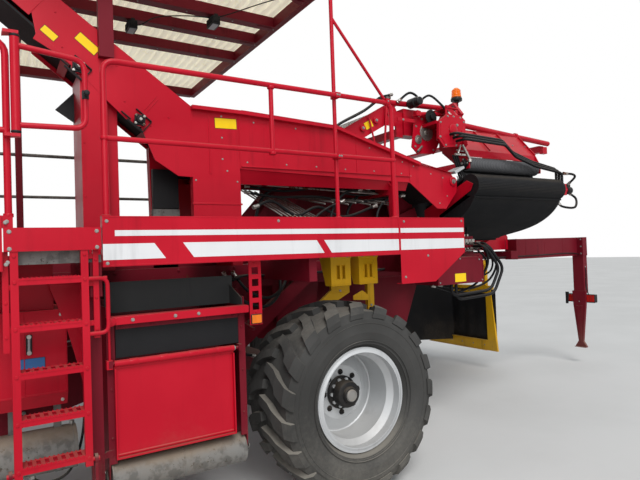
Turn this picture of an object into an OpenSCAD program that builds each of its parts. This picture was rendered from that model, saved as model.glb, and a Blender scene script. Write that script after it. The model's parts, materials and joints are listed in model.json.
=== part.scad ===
// Trailed two-row potato harvester with picking table, overloading bunker and canopy.
// Every place below is measured in millimetres from the wheel axle's line on the ground:
// x to the front, y to the left side, z up. from_hitch() then puts the origin in the hitch eye.

/* [Wheels and axle] */
// Diameter of a tyre over its lugs
tyre_d = 1330; // [1200:10:1450]
// Width of a tyre's section
tyre_w = 600; // [500:10:650]
// Height of the tread lugs
lug_h = 42; // [25:1:55]
// Number of lugs on each shoulder
lug_count = 19; // [16:1:22]
// Outer diameter of the rim's flanges
rim_d = 720; // [640:5:760]
// Distance between the two tyres' middles
track = 2680; // [2600:10:2800]
// Diameter of the hub
hub_d = 210; // [180:5:240]
// Diameter of the spindle that carries a hub
spindle_d = 90; // [70:2:110]
// Height and width of the square axle beam
axle_s = 160; // [120:5:200]

/* [Frame] */
// Underside of the upper frame beams above the ground
beam_z = 1440; // [1400:5:1500]
// Height of the frame beams
beam_h = 180; // [140:5:200]
// Width of the frame beams
beam_w = 110; // [80:5:130]
// Place of the left frame beam's middle
beam_left_y = 690; // [660:5:720]
// Place of the right frame beam's middle
beam_right_y = -1165; // [-1200:5:-1150]
// Rear end of the right frame beam
frame_rear_x = -3500; // [-3600:10:-3400]
// Rear end of the left frame beam
beam_left_rear_x = -2240; // [-2300:10:-2200]
// Front end of the frame beams
frame_front_x = 4560; // [4500:10:4700]

/* [Drawbar and hitch] */
// Height of the hitch eye above the ground
hitch_z = 480; // [400:10:600]
// Hitch eye in front of the axle
hitch_x = 6400; // [6200:10:6600]
// Inner diameter of the hitch eye
eye_bore = 50; // [40:1:60]
// Outer diameter of the hitch eye
eye_d = 110; // [100:2:130]
// Thickness of the hitch eye
eye_t = 44; // [30:2:60]
// Drawbar pivot in front of the axle
pivot_x = 4450; // [4400:10:4500]
// Height of the drawbar's middle at its pivot
pivot_z = 900; // [850:10:950]
// Diameter of the drawbar's pivot pin
pivot_pin_d = 70; // [50:2:90]
// Height and width of the drawbar's beam
drawbar_s = 180; // [140:5:200]

/* [Side panel and platform] */
// Outer face of the side panel
side_y = 1600; // [1580:5:1620]
// Top edge of the side panel
panel_top_z = 1930; // [1900:5:1960]
// Bottom edge of the side panel
panel_low_z = 1657; // [1640:1:1680]
// Rear end of the side panel
panel_rear_x = -1060; // [-1100:5:-1000]
// Front end of the side panel
panel_front_x = 1662; // [1640:1:1680]
// Bottom edge of the panel's deep rear part
drop_low_z = 1440; // [1400:5:1480]
// Front end of the panel's deep rear part
drop_front_x = -395; // [-420:1:-360]
// Thickness of pressed sheet
sheet_t = 5; // [3:0.5:8]
// Depth of the side panel's folded edges
panel_depth = 60; // [40:2:80]
// Top of the platform floors
floor_z = 1725; // [1700:5:1740]
// Thickness of the platform floors
floor_t = 40; // [30:1:50]

/* [Railing and gate] */
// Diameter of the rail tubes
rail_d = 34; // [28:1:42]
// Height of the top rail
rail_top_z = 2780; // [2700:5:2820]
// Height of the middle rail
rail_mid_z = 2355; // [2300:5:2400]
// Rear post of the left railing
rail_rear_x = -372; // [-390:1:-350]
// Front post of the left railing
rail_front_x = 1635; // [1620:1:1645]
// Gate post in front of the ladder gap
gate_post_x = 2090; // [2080:1:2110]
// Free end of the gate's hoop
gate_end_x = 1718; // [1712:1:1730]
// Radius of the bends in the rail tubes
rail_bend = 70; // [50:5:90]

/* [Ladder] */
// Rear stile of the ladder
ladder_rear_x = 1752; // [1745:1:1760]
// Front stile of the ladder
ladder_front_x = 2072; // [2060:1:2080]
// Height of the ladder's lowest fixed rung
rung_low_z = 690; // [680:1:710]
// Distance between rungs
rung_pitch = 232; // [220:1:240]
// Number of fixed rungs
rung_count = 5; // [3:1:5]
// Depth of a rung from front to back
rung_depth = 90; // [70:2:110]
// Height of a rung
rung_h = 34; // [28:1:40]
// Drop of the folding step below the fixed ladder
step_drop = 260; // [220:5:280]

/* [Canopy] */
// Underside of the canopy's beams
canopy_z = 3600; // [3560:5:3640]
// Rear edge of the canopy
canopy_rear_x = 50; // [20:5:80]
// Front edge of the canopy
canopy_front_x = 1960; // [1900:5:1990]
// Left edge of the canopy
canopy_left_y = 1250; // [1200:5:1300]
// Right edge of the canopy
canopy_right_y = -1560; // [-1600:5:-1500]
// Height of the canopy's beams
canopy_beam_h = 90; // [70:5:110]
// Thickness of the corrugated sheets over their waves
canopy_sheet_t = 24; // [16:1:30]

/* [Picking table and elevator] */
// Left side wall of the picking table
table_left_y = 1000; // [980:5:1020]
// Right side wall of the picking table
table_right_y = -80; // [-110:5:-50]
// Thickness of the conveyors' side walls
wall_t = 8; // [5:1:12]
// Clear gap between a conveyor belt and its side walls
belt_gap = 6; // [4:1:10]
// Thickness of the conveyor belts
belt_t = 14; // [8:1:20]
// Steepness of the bunker elevator
elevator_deg = 39; // [36:1:40]
// Right side wall of the bunker elevator
elevator_right_y = 620; // [600:5:660]

/* [Bunker] */
// Rear wall of the bunker
bunker_rear_x = 2330; // [2310:5:2360]
// Front wall of the bunker
bunker_front_x = 4780; // [4700:10:4860]
// Top edge of the bunker
bunker_top_z = 3080; // [3000:10:3120]
// Right wall of the bunker at its top
bunker_right_y = -1500; // [-1550:10:-1450]
// Left end of the bunker's floor
bunker_left_y = 1050; // [1030:5:1070]
// Length of the overloading boom
boom_len = 1760; // [1600:10:1800]
// Depth of the boom's side walls
boom_depth = 220; // [180:5:260]

/* [Digging unit and main web] */
// Width of the crop channel between its walls
channel_w = 1520; // [1480:5:1540]
// Middle of the crop channel
channel_y = -200; // [-210:5:-190]
// Thickness of the channel's side walls
channel_wall = 10; // [6:1:14]
// Share points in front of the axle
share_x = 3250; // [3200:10:3300]
// Height of the share points when raised
share_z = 350; // [300:10:400]
// Joint of the digging unit in front of the axle
dig_pivot_x = 1000; // [980:5:1020]
// Height of the digging unit's joint
dig_pivot_z = 960; // [940:5:980]
// Rear end of the main web
web_rear_x = -1540; // [-1580:5:-1500]
// Height of the main web's rear roller
web_rear_z = 1930; // [1900:5:1960]
// Diameter of a web rod
web_rod_d = 12; // [10:1:16]
// Distance between web rods
web_pitch = 70; // [60:5:100]
// Diameter of the web rollers
web_roller_d = 200; // [160:5:220]
// Diameter of a diabolo roller's rims
diabolo_d = 620; // [560:10:680]
// Diameter of the disc coulters
disc_d = 640; // [600:10:680]
// Distance between the two rows
row_pitch = 750; // [700:10:780]

/* [Rear separators] */
// Front end of the finger belts
finger_front_x = -1660; // [-1700:5:-1655]
// Rear end of the finger belts
finger_rear_x = -3000; // [-3100:5:-2950]
// Diameter of the finger belt's rollers
finger_roller_d = 190; // [160:5:220]
// Outer roller of the finger belt
finger_out_y = 1130; // [1080:5:1160]
// Height of the outer roller
finger_out_z = 2270; // [2220:5:2300]
// Inner roller of the finger belt
finger_in_y = 250; // [220:5:300]
// Height of the inner roller
finger_in_z = 1880; // [1850:5:1900]
// Distance between the ribs of the finger belt
rib_pitch = 60; // [50:5:90]

/* [Rear light carrier] */
// Place of the light carrier's middle
carrier_y = 110; // [90:5:130]
// Rear end of the light carrier
carrier_rear_x = -5030; // [-5100:10:-4900]
// Top of the light carrier's beam
carrier_top_z = 1770; // [1740:5:1790]
// Height of the light carrier's beam
carrier_h = 260; // [220:5:280]

/* [Fits and small gaps] */
// Radial clearance of a shaft in its bearing
shaft_gap = 0.05; // [0.02:0.01:0.1]
// Gap between a piece and what it is seated on
seat_gap = 0.3; // [0.2:0.05:0.4]
// Gap between moving pieces side by side
move_gap = 8; // [6:1:12]

/* [Hidden] */

red = [0.70, 0.06, 0.10];
dark_red = [0.36, 0.05, 0.08];
yellow = [0.88, 0.62, 0.06];
black = [0.06, 0.06, 0.07];
rubber = [0.10, 0.10, 0.11];
steel = [0.62, 0.63, 0.65];
silver = [0.78, 0.79, 0.80];
grey = [0.42, 0.44, 0.46];
cream = [0.86, 0.85, 0.78];
amber = [0.95, 0.45, 0.08];

axle_z = tyre_d / 2;
beam_top_z = beam_z + beam_h;
beam_left_out = beam_left_y + beam_w / 2;
beam_right_out = beam_right_y - beam_w / 2;
channel_left = channel_y + channel_w / 2;
channel_right = channel_y - channel_w / 2;
channel_out_left = channel_left + channel_wall;
channel_out_right = channel_right - channel_wall;
drawbar_deg = atan2(beam_left_y, hitch_x - pivot_x);
drawbar_len = norm([hitch_x - pivot_x, beam_left_y]);
panel_in_y = side_y - panel_depth;

// Puts the hitch eye's middle in the origin
module from_hitch() translate([-hitch_x, 0, -hitch_z]) children();

// A block between two corners
module block(low, high) translate(low) cube(high - low);

// A round bar between two points
module bar(a, b, d) {
    v = b - a;
    translate(a)
        rotate([0, acos(v[2] / norm(v)), atan2(v[1], v[0])])
            cylinder(h = norm(v), d = d, $fn = 32);
}

function unit(v) = v / norm(v);

// The points of a path whose corners are rounded over r, with n steps to a corner
function rounded(p, r, n = 4) = concat(
    [p[0]],
    [for (i = [1 : len(p) - 2], k = [0 : n])
        let(s = k / n, a = p[i] - r * unit(p[i] - p[i - 1]), b = p[i] + r * unit(p[i + 1] - p[i]))
            (1 - s) * (1 - s) * a + 2 * s * (1 - s) * p[i] + s * s * b],
    [p[len(p) - 1]]
);

// Direction of a path at its point i
function path_dir(p, i) = unit(p[min(i + 1, len(p) - 1)] - p[max(i - 1, 0)]);

// A round tube swept along a path; side is a direction that the path never takes
module tube(p, d, side = [0.31, 0.93, 0.17], n = 10) {
    rings = [for (i = [0 : len(p) - 1])
        let(t = path_dir(p, i), u = unit(cross(t, side)), v = cross(t, u))
            [for (k = [0 : n - 1]) p[i] + d / 2 * (cos(k * 360 / n) * u + sin(k * 360 / n) * v)]];
    last = (len(p) - 1) * n;
    polyhedron(
        points = [for (ring = rings, q = ring) q],
        faces = concat(
            [[for (k = [0 : n - 1]) k]],
            [for (i = [0 : len(p) - 2], k = [0 : n - 1])
                [i * n + k, (i + 1) * n + (k + 1) % n, i * n + (k + 1) % n]],
            [for (i = [0 : len(p) - 2], k = [0 : n - 1])
                [i * n + k, (i + 1) * n + k, (i + 1) * n + (k + 1) % n]],
            [[for (k = [n - 1 : -1 : 0]) last + k]]
        ),
        convexity = 6
    );
}

// A plate drawn in x and z, from y0 to y1
module side_plate(points, y0, y1)
    translate([0, y1, 0]) rotate([90, 0, 0]) linear_extrude(y1 - y0) polygon(points);

// A plate drawn in y and z, from x0 to x1
module cross_plate(points, x0, x1)
    translate([x0, 0, 0]) rotate([90, 0, 90]) linear_extrude(x1 - x0) polygon(points);

// A plate drawn in x and y, from z0 to z1
module flat_plate(points, z0, z1)
    translate([0, 0, z0]) linear_extrude(z1 - z0) polygon(points);

// A closed belt round two rollers, drawn in x and z between y0 and y1
module belt_loop(a, b, roller_d, thick, y0, y1) {
    deg = atan2(b[1] - a[1], b[0] - a[0]);
    reach = norm(b - a);
    translate([a[0], y1, a[1]]) rotate([90, 0, 0]) rotate([0, 0, deg]) linear_extrude(y1 - y0)
        difference() {
            union() {
                circle(d = roller_d + 2 * thick, $fn = 48);
                translate([reach, 0]) circle(d = roller_d + 2 * thick, $fn = 48);
                translate([0, -roller_d / 2 - thick]) square([reach, roller_d + 2 * thick]);
            }
            circle(d = roller_d, $fn = 48);
            translate([reach, 0]) circle(d = roller_d, $fn = 48);
            translate([0, -roller_d / 2]) square([reach, roller_d]);
        }
}

// Drums inside a belt's edges, on two shafts that end in the walls beside it
module belt_drums(a, b, roller_d, y0, y1, reach) {
    drum_w = 56;
    for (p = [a, b]) {
        for (y = [y0 + 2, y1 - 2 - drum_w])
            translate([p[0], y, p[1]]) rotate([-90, 0, 0]) cylinder(h = drum_w, d = roller_d + 6, $fn = 48);
        translate([p[0], y0 - reach, p[1]]) rotate([-90, 0, 0])
            cylinder(h = y1 - y0 + 2 * reach, d = 50, $fn = 32);
    }
}

// A belt with its drums, whose shafts reach the walls at belt_gap from its edges
module driven_belt(a, b, roller_d, y0, y1) {
    belt_loop(a, b, roller_d, belt_t, y0, y1);
    belt_drums(a, b, roller_d, y0, y1, belt_gap - seat_gap);
}

// Wheels and axle

// Half section of the tyre's carcass, as [radius, distance from its middle]
module tyre_section() {
    r_out = tyre_d / 2 - lug_h;
    r_bead = rim_d / 2 - 24;
    w = tyre_w / 2;
    polygon([
        [r_bead, -0.80 * w], [r_bead + 32, -0.80 * w], [r_bead + 62, -0.94 * w],
        [r_bead + 130, -w], [r_out - 68, -w + 3], [r_out - 14, -0.90 * w], [r_out - 4, -0.70 * w],
            [r_out, 0],
        [r_out - 4, 0.70 * w], [r_out - 14, 0.90 * w], [r_out - 68, w - 3], [r_bead + 130, w],
        [r_bead + 62, 0.94 * w], [r_bead + 32, 0.80 * w], [r_bead, 0.80 * w]
    ]);
}

// Half section of the ring that the lugs fill
module lug_section() {
    r_out = tyre_d / 2;
    w = tyre_w / 2;
    polygon([
        [r_out - lug_h - 60, -0.86 * w], [r_out - lug_h - 60, 0.86 * w],
        [r_out - 98, w], [r_out - 66, w], [r_out - 22, 0.90 * w],
        [r_out, 0.55 * w], [r_out, -0.55 * w], [r_out - 22, -0.90 * w], [r_out - 66, -w], [r_out - 98, -w]
    ]);
}

// One lug seen from outside: along the tread, then across it towards the shoulder
module lug_outline() {
    w = tyre_w / 2;
    polygon([
        [-36, -14], [26, -14], [60, 0.30 * w], [106, 0.57 * w], [142, 0.61 * w], [206, 1.02 * w],
        [98, 1.02 * w], [46, 0.67 * w], [-4, 0.37 * w]
    ]);
}

module tread() intersection() {
    rotate([-90, 0, 0]) rotate_extrude($fn = 96) lug_section();
    for (i = [0 : lug_count - 1], side = [-1, 1])
        rotate([0, (i + (side + 1) / 4) * 360 / lug_count, 0])
            translate([0, 0, tyre_d / 2 - lug_h - 90])
                scale([1, side, 1]) linear_extrude(lug_h + 130) lug_outline();
}

module tyre(side) translate([0, side * track / 2, axle_z]) {
    rotate([-90, 0, 0]) rotate_extrude($fn = 96) tyre_section();
    scale([1, side, 1]) tread();
}

// Section of the deep wheel, as [radius, distance from its middle]; the dish lies inwards
module rim_section() {
    w = tyre_w / 2;
    f = 0.80 * w;
    r = rim_d / 2;
    seat = r - 24 - seat_gap;
    polygon([
        [r, f + 14], [r, f + seat_gap], [seat, f + seat_gap], [seat, f - 50], [seat - 34, f - 90],
        [seat - 34, -f + 90], [seat, -f + 50], [seat, -f - seat_gap], [r, -f - seat_gap],
        [r, -f - 14], [seat - 10, -f - 14], [seat - 10, -f + 44], [seat - 44, -f + 86],
        [seat - 44, -70], [hub_d / 2 + 90, -30], [hub_d / 2 + 10, -30], [hub_d / 2 + 10, -14],
        [hub_d / 2 + 96, -14], [seat - 44, -54], [seat - 44, f - 86], [seat - 10, f - 44],
        [seat - 10, f + 14]
    ]);
}

module rim(side) translate([0, side * track / 2, axle_z]) scale([1, side, 1]) rotate([-90, 0, 0]) {
    rotate_extrude($fn = 96) rim_section();
    difference() {
        union() {
            translate([0, 0, -170]) cylinder(h = 176, d = hub_d + 24, $fn = 64);
            cylinder(h = 90, d = hub_d - 30, $fn = 64);
            for (i = [0 : 9])
                rotate([0, 0, i * 36]) translate([hub_d / 2 - 8, 0, 0]) cylinder(h = 24, d = 26, $fn = 16);
        }
        translate([0, 0, -171]) cylinder(h = 211, d = spindle_d + 2 * shaft_gap, $fn = 64);
    }
}

module tyre_left() color(rubber) from_hitch() tyre(1);
module tyre_right() color(rubber) from_hitch() tyre(-1);
module rim_left() color(silver) from_hitch() rim(1);
module rim_right() color(silver) from_hitch() rim(-1);

spindle_in = track / 2 - 190;
hanger_t = 28;
// the right hanger stands between the crop channel and the wheel
hanger_right_y = -track / 2 + tyre_w / 2 + 45;

module axle_beam() color(dark_red) from_hitch() {
    block([-axle_s / 2, -spindle_in, axle_z - axle_s / 2], [axle_s / 2, spindle_in, axle_z + axle_s / 2]);
    for (side = [-1, 1])
        scale([1, side, 1]) {
            translate([0, spindle_in - 30, axle_z]) rotate([-90, 0, 0]) cylinder(h = 30, d = 260, $fn = 48);
            translate([0, spindle_in - 1, axle_z]) rotate([-90, 0, 0])
                cylinder(h = 221, d = spindle_d, $fn = 64);
        }
    // hangers up to the frame beams
    for (y = [beam_left_y, hanger_right_y])
        side_plate([
            [-axle_s / 2 - 40, axle_z + axle_s / 2 - 1], [axle_s / 2 + 40, axle_z + axle_s / 2 - 1],
            [axle_s / 2 + 140, beam_z - seat_gap], [-axle_s / 2 - 140, beam_z - seat_gap]
        ], y - hanger_t / 2, y + hanger_t / 2);
}

// Frame

module chassis_frame() color(dark_red) from_hitch() {
    // upper beams
    for (beam = [[beam_left_rear_x, beam_left_y], [frame_rear_x, beam_right_y]])
        block([beam[0], beam[1] - beam_w / 2, beam_z], [frame_front_x, beam[1] + beam_w / 2, beam_top_z]);
    // cross members
    for (x = [beam_left_rear_x, 2300, frame_front_x - beam_w])
        block([x, beam_right_y, beam_z], [x + beam_w, beam_left_y, beam_top_z]);
    block([frame_rear_x, beam_right_y, beam_z + 80], [frame_rear_x + beam_w, carrier_y + 90, beam_top_z]);
    // strut on the left beam's outer face, with its lower plate
    side_plate([
        [520, 980], [640, 980], [640, beam_z + 1], [560, beam_z + 1], [560, 1110], [-140, beam_top_z],
            [-300, beam_top_z]
    ], beam_left_out - 1, beam_left_out + 60);
    // ledge over the right hanger
    block([-220, beam_right_y, beam_z], [220, hanger_right_y + hanger_t / 2, beam_z + 60]);
    // front column down to the drawbar's pivot
    block([frame_front_x - 220, beam_left_y - beam_w / 2, pivot_z + 150],
        [frame_front_x, beam_left_y + beam_w / 2, beam_z + 1]);
    for (s = [-1, 1])
        translate([pivot_x, beam_left_y, pivot_z + s * (drawbar_s / 2 + move_gap + 20) - 20])
            linear_extrude(40) union() {
                circle(d = 190, $fn = 48);
                translate([-150, -beam_w / 2]) square([150, beam_w]);
            }
    translate([pivot_x, beam_left_y, pivot_z - drawbar_s / 2 - move_gap - 60])
        cylinder(h = drawbar_s + 2 * move_gap + 120, d = pivot_pin_d, $fn = 48);
    block([pivot_x - 210, beam_left_y - beam_w / 2, pivot_z - drawbar_s / 2 - move_gap - 40],
        [pivot_x - 140, beam_left_y + beam_w / 2, beam_z + 1]);
    // steering bracket in front of the digging unit
    block([pivot_x - 200, steer_base[1] - 60, pivot_z - 60], [pivot_x - 140, beam_left_y, pivot_z + 60]);
    block([pivot_x - 141, steer_base[1] - 45, pivot_z - 60],
        [steer_base[0], steer_base[1] + 45, pivot_z - 36]);
    translate([steer_base[0], steer_base[1], pivot_z - 60]) cylinder(h = 24, d = 90, $fn = 48);
    translate([steer_base[0], steer_base[1], pivot_z - 37]) cylinder(h = 50, d = pin_d, $fn = 32);
    // outriggers under the left platform
    for (x = [panel_rear_x + 160, 300, 1660, 2190])
        block([x, beam_left_out - 1, beam_z + 60],
            [x + 60, panel_in_y - seat_gap, floor_z - floor_t - seat_gap]);
    // outriggers under the right platform
    for (x = [200, 1900])
        block([x, -side_y + 40, beam_z + 60], [x + 60, beam_right_out + 1, floor_z - floor_t - seat_gap]);
    // square parking stand beside the trash hopper
    block([1660, side_y - 180, 420], [1720, side_y - 120, beam_z + 61]);
    // bracket and pin of the lift cylinder
    block([lift_base[0] - 40, lift_y + eye_half + seat_gap, lift_base[1] - 40],
        [lift_base[0] + 40, lift_y + 70, beam_z + 60]);
    translate([lift_base[0], lift_y - 24, lift_base[1]]) rotate([-90, 0, 0])
        cylinder(h = 60, d = pin_d, $fn = 32);
}

// Drawbar, hitch and jack

module along_drawbar() translate([pivot_x, beam_left_y, pivot_z]) rotate([0, 0, -drawbar_deg]) children();

module drawbar() color(red) from_hitch() along_drawbar() {
    difference() {
        union() {
            cylinder(h = drawbar_s, d = 170, center = true, $fn = 64);
            translate([0, drawbar_s / 2, 0]) rotate([90, 0, 0]) linear_extrude(drawbar_s)
                polygon([
                    [30, -drawbar_s / 2], [drawbar_len - 700, -drawbar_s / 2],
                    [drawbar_len - 260, hitch_z - pivot_z - 60],
                        [drawbar_len - 160, hitch_z - pivot_z - 60],
                    [drawbar_len - 160, hitch_z - pivot_z + 60], [drawbar_len - 620, drawbar_s / 2],
                    [30, drawbar_s / 2]
                ]);
        }
        cylinder(h = drawbar_s + 10, d = pivot_pin_d + 2 * shaft_gap, center = true, $fn = 48);
    }
    // bracket of the steering rod
    translate([steer_arm - 50, -steer_out - 45, -60]) cube([100, steer_out + 46 - drawbar_s / 2, 24]);
    // sleeve of the jack
    translate([jack_at, drawbar_s / 2 + 89, 0]) difference() {
        union() {
            translate([0, 0, -150]) cylinder(h = 420, d = 100, $fn = 48);
            block([-50, -90, -90], [50, -20, 90]);
        }
        translate([0, 0, -151]) cylinder(h = 422, d = jack_d + 2 * shaft_gap, $fn = 48);
    }
    // lower front hook and hose rest
    translate([drawbar_len - 800, -10, drawbar_s / 2 - 1]) cube([20, 20, 320]);
    translate([drawbar_len - 830, -90, drawbar_s / 2 + 318]) cube([80, 180, 24]);
}
steer_arm = 500;
steer_out = drawbar_s / 2 + 75;
jack_at = 1150;
jack_d = 76;

module hitch_eye() color(steel) from_hitch() along_drawbar() translate([drawbar_len, 0, hitch_z - pivot_z])
    difference() {
        union() {
            translate([0, 0, -eye_t / 2]) cylinder(h = eye_t, d = eye_d, $fn = 64);
            translate([-130, -30, -eye_t / 2]) cube([100, 60, eye_t]);
            translate([-160 + seat_gap, -60, -50]) cube([36, 120, 100]);
        }
        cylinder(h = eye_t + 10, d = eye_bore, center = true, $fn = 64);
    }

module jack_leg() color(grey) from_hitch() along_drawbar()
    translate([jack_at, drawbar_s / 2 + 89, 0]) {
        translate([0, 0, -pivot_z + 20]) cylinder(h = pivot_z + 320, d = jack_d, $fn = 48);
        translate([0, 0, -pivot_z]) cylinder(h = 20, d = 260, $fn = 48);
        translate([0, 0, -pivot_z + 19]) cylinder(h = 40, d1 = 160, d2 = 90, $fn = 48);
    }

// Cylinders: a barrel on its pin and a rod that ends in a closed eye with a pin head

pin_d = 30;
eye_half = 20;

module cylinder_barrel(length, d) {
    difference() {
        union() {
            rotate([90, 0, 0]) cylinder(h = 2 * eye_half, d = 64, center = true, $fn = 32);
            translate([20, 0, 0]) rotate([0, 90, 0]) cylinder(h = 46, d = 34, $fn = 32);
            translate([62, 0, 0]) rotate([0, 90, 0]) cylinder(h = length - 62, d = d, $fn = 48);
            translate([length - 60, 0, 0]) rotate([0, 90, 0]) cylinder(h = 60, d = d + 14, $fn = 48);
        }
        rotate([90, 0, 0]) cylinder(h = 60, d = pin_d + 2 * shaft_gap, center = true, $fn = 32);
        translate([90, 0, 0]) rotate([0, 90, 0])
            cylinder(h = length, d = 0.45 * d + 2 * shaft_gap, $fn = 48);
    }
}

module cylinder_rod(length, reach, d, head = 1) {
    translate([length - reach, 0, 0]) rotate([0, 90, 0]) cylinder(h = reach - 20, d = 0.45 * d, $fn = 48);
    translate([length, 0, 0]) rotate([90, 0, 0]) {
        cylinder(h = 2 * eye_half, d = 64, center = true, $fn = 32);
        translate([0, 0, (head - 1) * 10 - 10]) cylinder(h = 2 * eye_half, d = 44, $fn = 6);
    }
}

// Steering cylinder, flat, from the frame's bracket to the drawbar
steer_base = [pivot_x - 40, -430];
steer_tip = [
    pivot_x + steer_arm * cos(drawbar_deg) - steer_out * sin(drawbar_deg),
    beam_left_y - steer_arm * sin(drawbar_deg) - steer_out * cos(drawbar_deg)
];
steer_len = norm(steer_tip - steer_base);
module steer_place() translate([steer_base[0], steer_base[1], pivot_z - 36 + eye_half + seat_gap])
    rotate([0, 0, atan2(steer_tip[1] - steer_base[1], steer_tip[0] - steer_base[0])])
        rotate([90, 0, 0]) children();
module steer_barrel() color(black) from_hitch() steer_place() cylinder_barrel(steer_len - 180, 80);
module steer_rod() color(steel) from_hitch() steer_place() cylinder_rod(steer_len, 690, 80, -1);

// Left side: panel, platform, railing, gate and ladder

module side_panel() color(red) from_hitch() {
    outline = [
        [panel_front_x, panel_low_z], [panel_front_x, panel_top_z], [panel_rear_x, panel_top_z],
        [panel_rear_x, panel_low_z], [panel_rear_x + 330, drop_low_z],
        [drop_front_x, drop_low_z], [drop_front_x, panel_low_z]
    ];
    side_plate(outline, side_y - sheet_t, side_y);
    // folded top and bottom edges
    block([panel_rear_x, panel_in_y, panel_top_z - sheet_t], [panel_front_x, side_y - 1, panel_top_z]);
    block([drop_front_x, panel_in_y, panel_low_z], [panel_front_x, side_y - 1, panel_low_z + sheet_t]);
    block([panel_rear_x + 330, panel_in_y, drop_low_z], [drop_front_x, side_y - 1, drop_low_z + sheet_t]);
    block([panel_rear_x, panel_in_y, panel_low_z], [panel_rear_x + sheet_t, side_y - 1, panel_top_z]);
    block([panel_front_x - sheet_t, panel_in_y, panel_low_z], [panel_front_x, side_y - 1, panel_top_z]);
    // short panel in front of the ladder
    block([gate_post_x + 30, side_y - sheet_t, panel_low_z], [2290, side_y, panel_top_z]);
    block([gate_post_x + 30, panel_in_y, panel_low_z], [2290, side_y - 1, panel_low_z + sheet_t]);
    block([gate_post_x + 30, panel_in_y, panel_top_z - sheet_t], [2290, side_y - 1, panel_top_z]);
    // plate over the ladder, with the posts that hang beside the stiles
    block([panel_front_x + 6, panel_in_y - 1, ladder_top_z],
        [gate_post_x + 24, side_y - 2, ladder_top_z + 118]);
    for (post = [[panel_front_x + 18, 1284], [gate_post_x + 6, 1255]])
        block([post[0], panel_in_y, post[1]], [post[0] + 28, panel_in_y + 24, ladder_top_z + 1]);
    // foot of the railing's front post
    block([gate_post_x - 18, rail_y - 22, ladder_top_z + 117],
        [gate_post_x + 31, rail_y + 22, panel_top_z]);
    // perforated strip that carries the side reflector
    difference() {
        block([700, side_y - 100, 1250], [785, side_y - 94, panel_low_z + 2]);
        for (i = [0 : 3])
            block([720, side_y - 110, 1345 + i * 75], [765, side_y - 80, 1390 + i * 75]);
    }
    block([700, side_y - 100, panel_low_z], [785, side_y - 40, panel_low_z + sheet_t]);
}

module platform_left() color(grey) from_hitch() {
    block([panel_rear_x + 20, table_left_y + 60, floor_z - floor_t],
        [2290, panel_in_y - 2 - seat_gap, floor_z]);
    // raised edge behind the plate over the ladder
    block([panel_front_x + 60, panel_in_y - 40, floor_z - 1],
        [gate_post_x - 20, panel_in_y - 2 - seat_gap, ladder_top_z + 60]);
}

// A bent rail between two posts in the side's plane
module rail_hoop(x0, x1, z_low, z_top, y, d)
    tube(rounded([[x0, y, z_low], [x0, y, z_top], [x1, y, z_top], [x1, y, z_low]], rail_bend, 5), d,
        [0, 1, 0], 12);

rail_y = side_y - panel_depth / 2;
mid_rail_d = rail_d - 4;

module railing_left() color(red) from_hitch() {
    rail_hoop(rail_rear_x, rail_front_x, panel_top_z + seat_gap, rail_top_z, rail_y, rail_d);
    bar([rail_rear_x, rail_y, rail_mid_z], [rail_front_x, rail_y, rail_mid_z], mid_rail_d);
    bar([620, rail_y, rail_mid_z], [620, rail_y, rail_top_z], mid_rail_d);
    // tall pole with its brace
    bar([105, rail_y - 40, panel_top_z + seat_gap], [105, rail_y - 40, canopy_z - seat_gap], 28);
    bar([105, rail_y - 40, rail_top_z + 560], [rail_rear_x + 40, rail_y - 12, rail_top_z + 14], 22);
    block([85, rail_y - 50, rail_mid_z - 14], [125, rail_y, rail_mid_z + 14]);
    block([85, rail_y - 50, rail_top_z - 14], [125, rail_y, rail_top_z + 14]);
    // front post and hoop in front of the ladder gap
    rail_hoop(gate_post_x, 2270, panel_top_z + seat_gap, rail_top_z + 20, rail_y, rail_d);
    bar([gate_post_x, rail_y, rail_mid_z], [2270, rail_y, rail_mid_z], mid_rail_d);
    // bent grab handle behind the ladder
    tube(rounded([
        [ladder_rear_x - 18 - seat_gap, side_y - 20, 1600], [ladder_rear_x - 112, side_y - 20, 1600],
        [ladder_rear_x - 112, side_y - 20, 1310], [ladder_rear_x - 18 - seat_gap, side_y - 20, 1310]
    ], 40), 22, [0, 1, 0]);
    gate_pin();
}

gate_pin_y = rail_y + rail_d / 2 + 30;

module gate() color(red) from_hitch() {
    z0 = rail_mid_z - 10;
    z1 = rail_top_z + 30;
    difference() {
        translate([gate_post_x - 40, gate_pin_y, z0]) cylinder(h = z1 - z0, d = 44, $fn = 48);
        translate([gate_post_x - 40, gate_pin_y, z0 - 1])
            cylinder(h = z1 - z0 + 2, d = 24 + 2 * shaft_gap, $fn = 48);
    }
    tube(rounded([
        [gate_post_x - 40 - 18, gate_pin_y, z1 - 40], [gate_end_x + 14, gate_pin_y, z1 - 70],
        [gate_end_x + 14, gate_pin_y, z0 + 40], [gate_post_x - 40 - 18, gate_pin_y, z0 + 30]
    ], 60, 5), 30, [0, 1, 0], 12);
}

// Pin of the gate and its two ears on the front post
module gate_pin() {
    z0 = rail_mid_z - 40;
    z1 = rail_top_z + 60;
    translate([gate_post_x - 40, gate_pin_y, z0]) cylinder(h = z1 - z0, d = 24, $fn = 48);
    for (z = [z0, z1 - 16])
        flat_plate([
            [gate_post_x - 58, gate_pin_y - 14], [gate_post_x - 58, gate_pin_y + 18],
            [gate_post_x + 10, gate_pin_y + 18], [gate_post_x + 14, rail_y]
        ], z, z + 16);
}

ladder_top_z = 1752;

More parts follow.
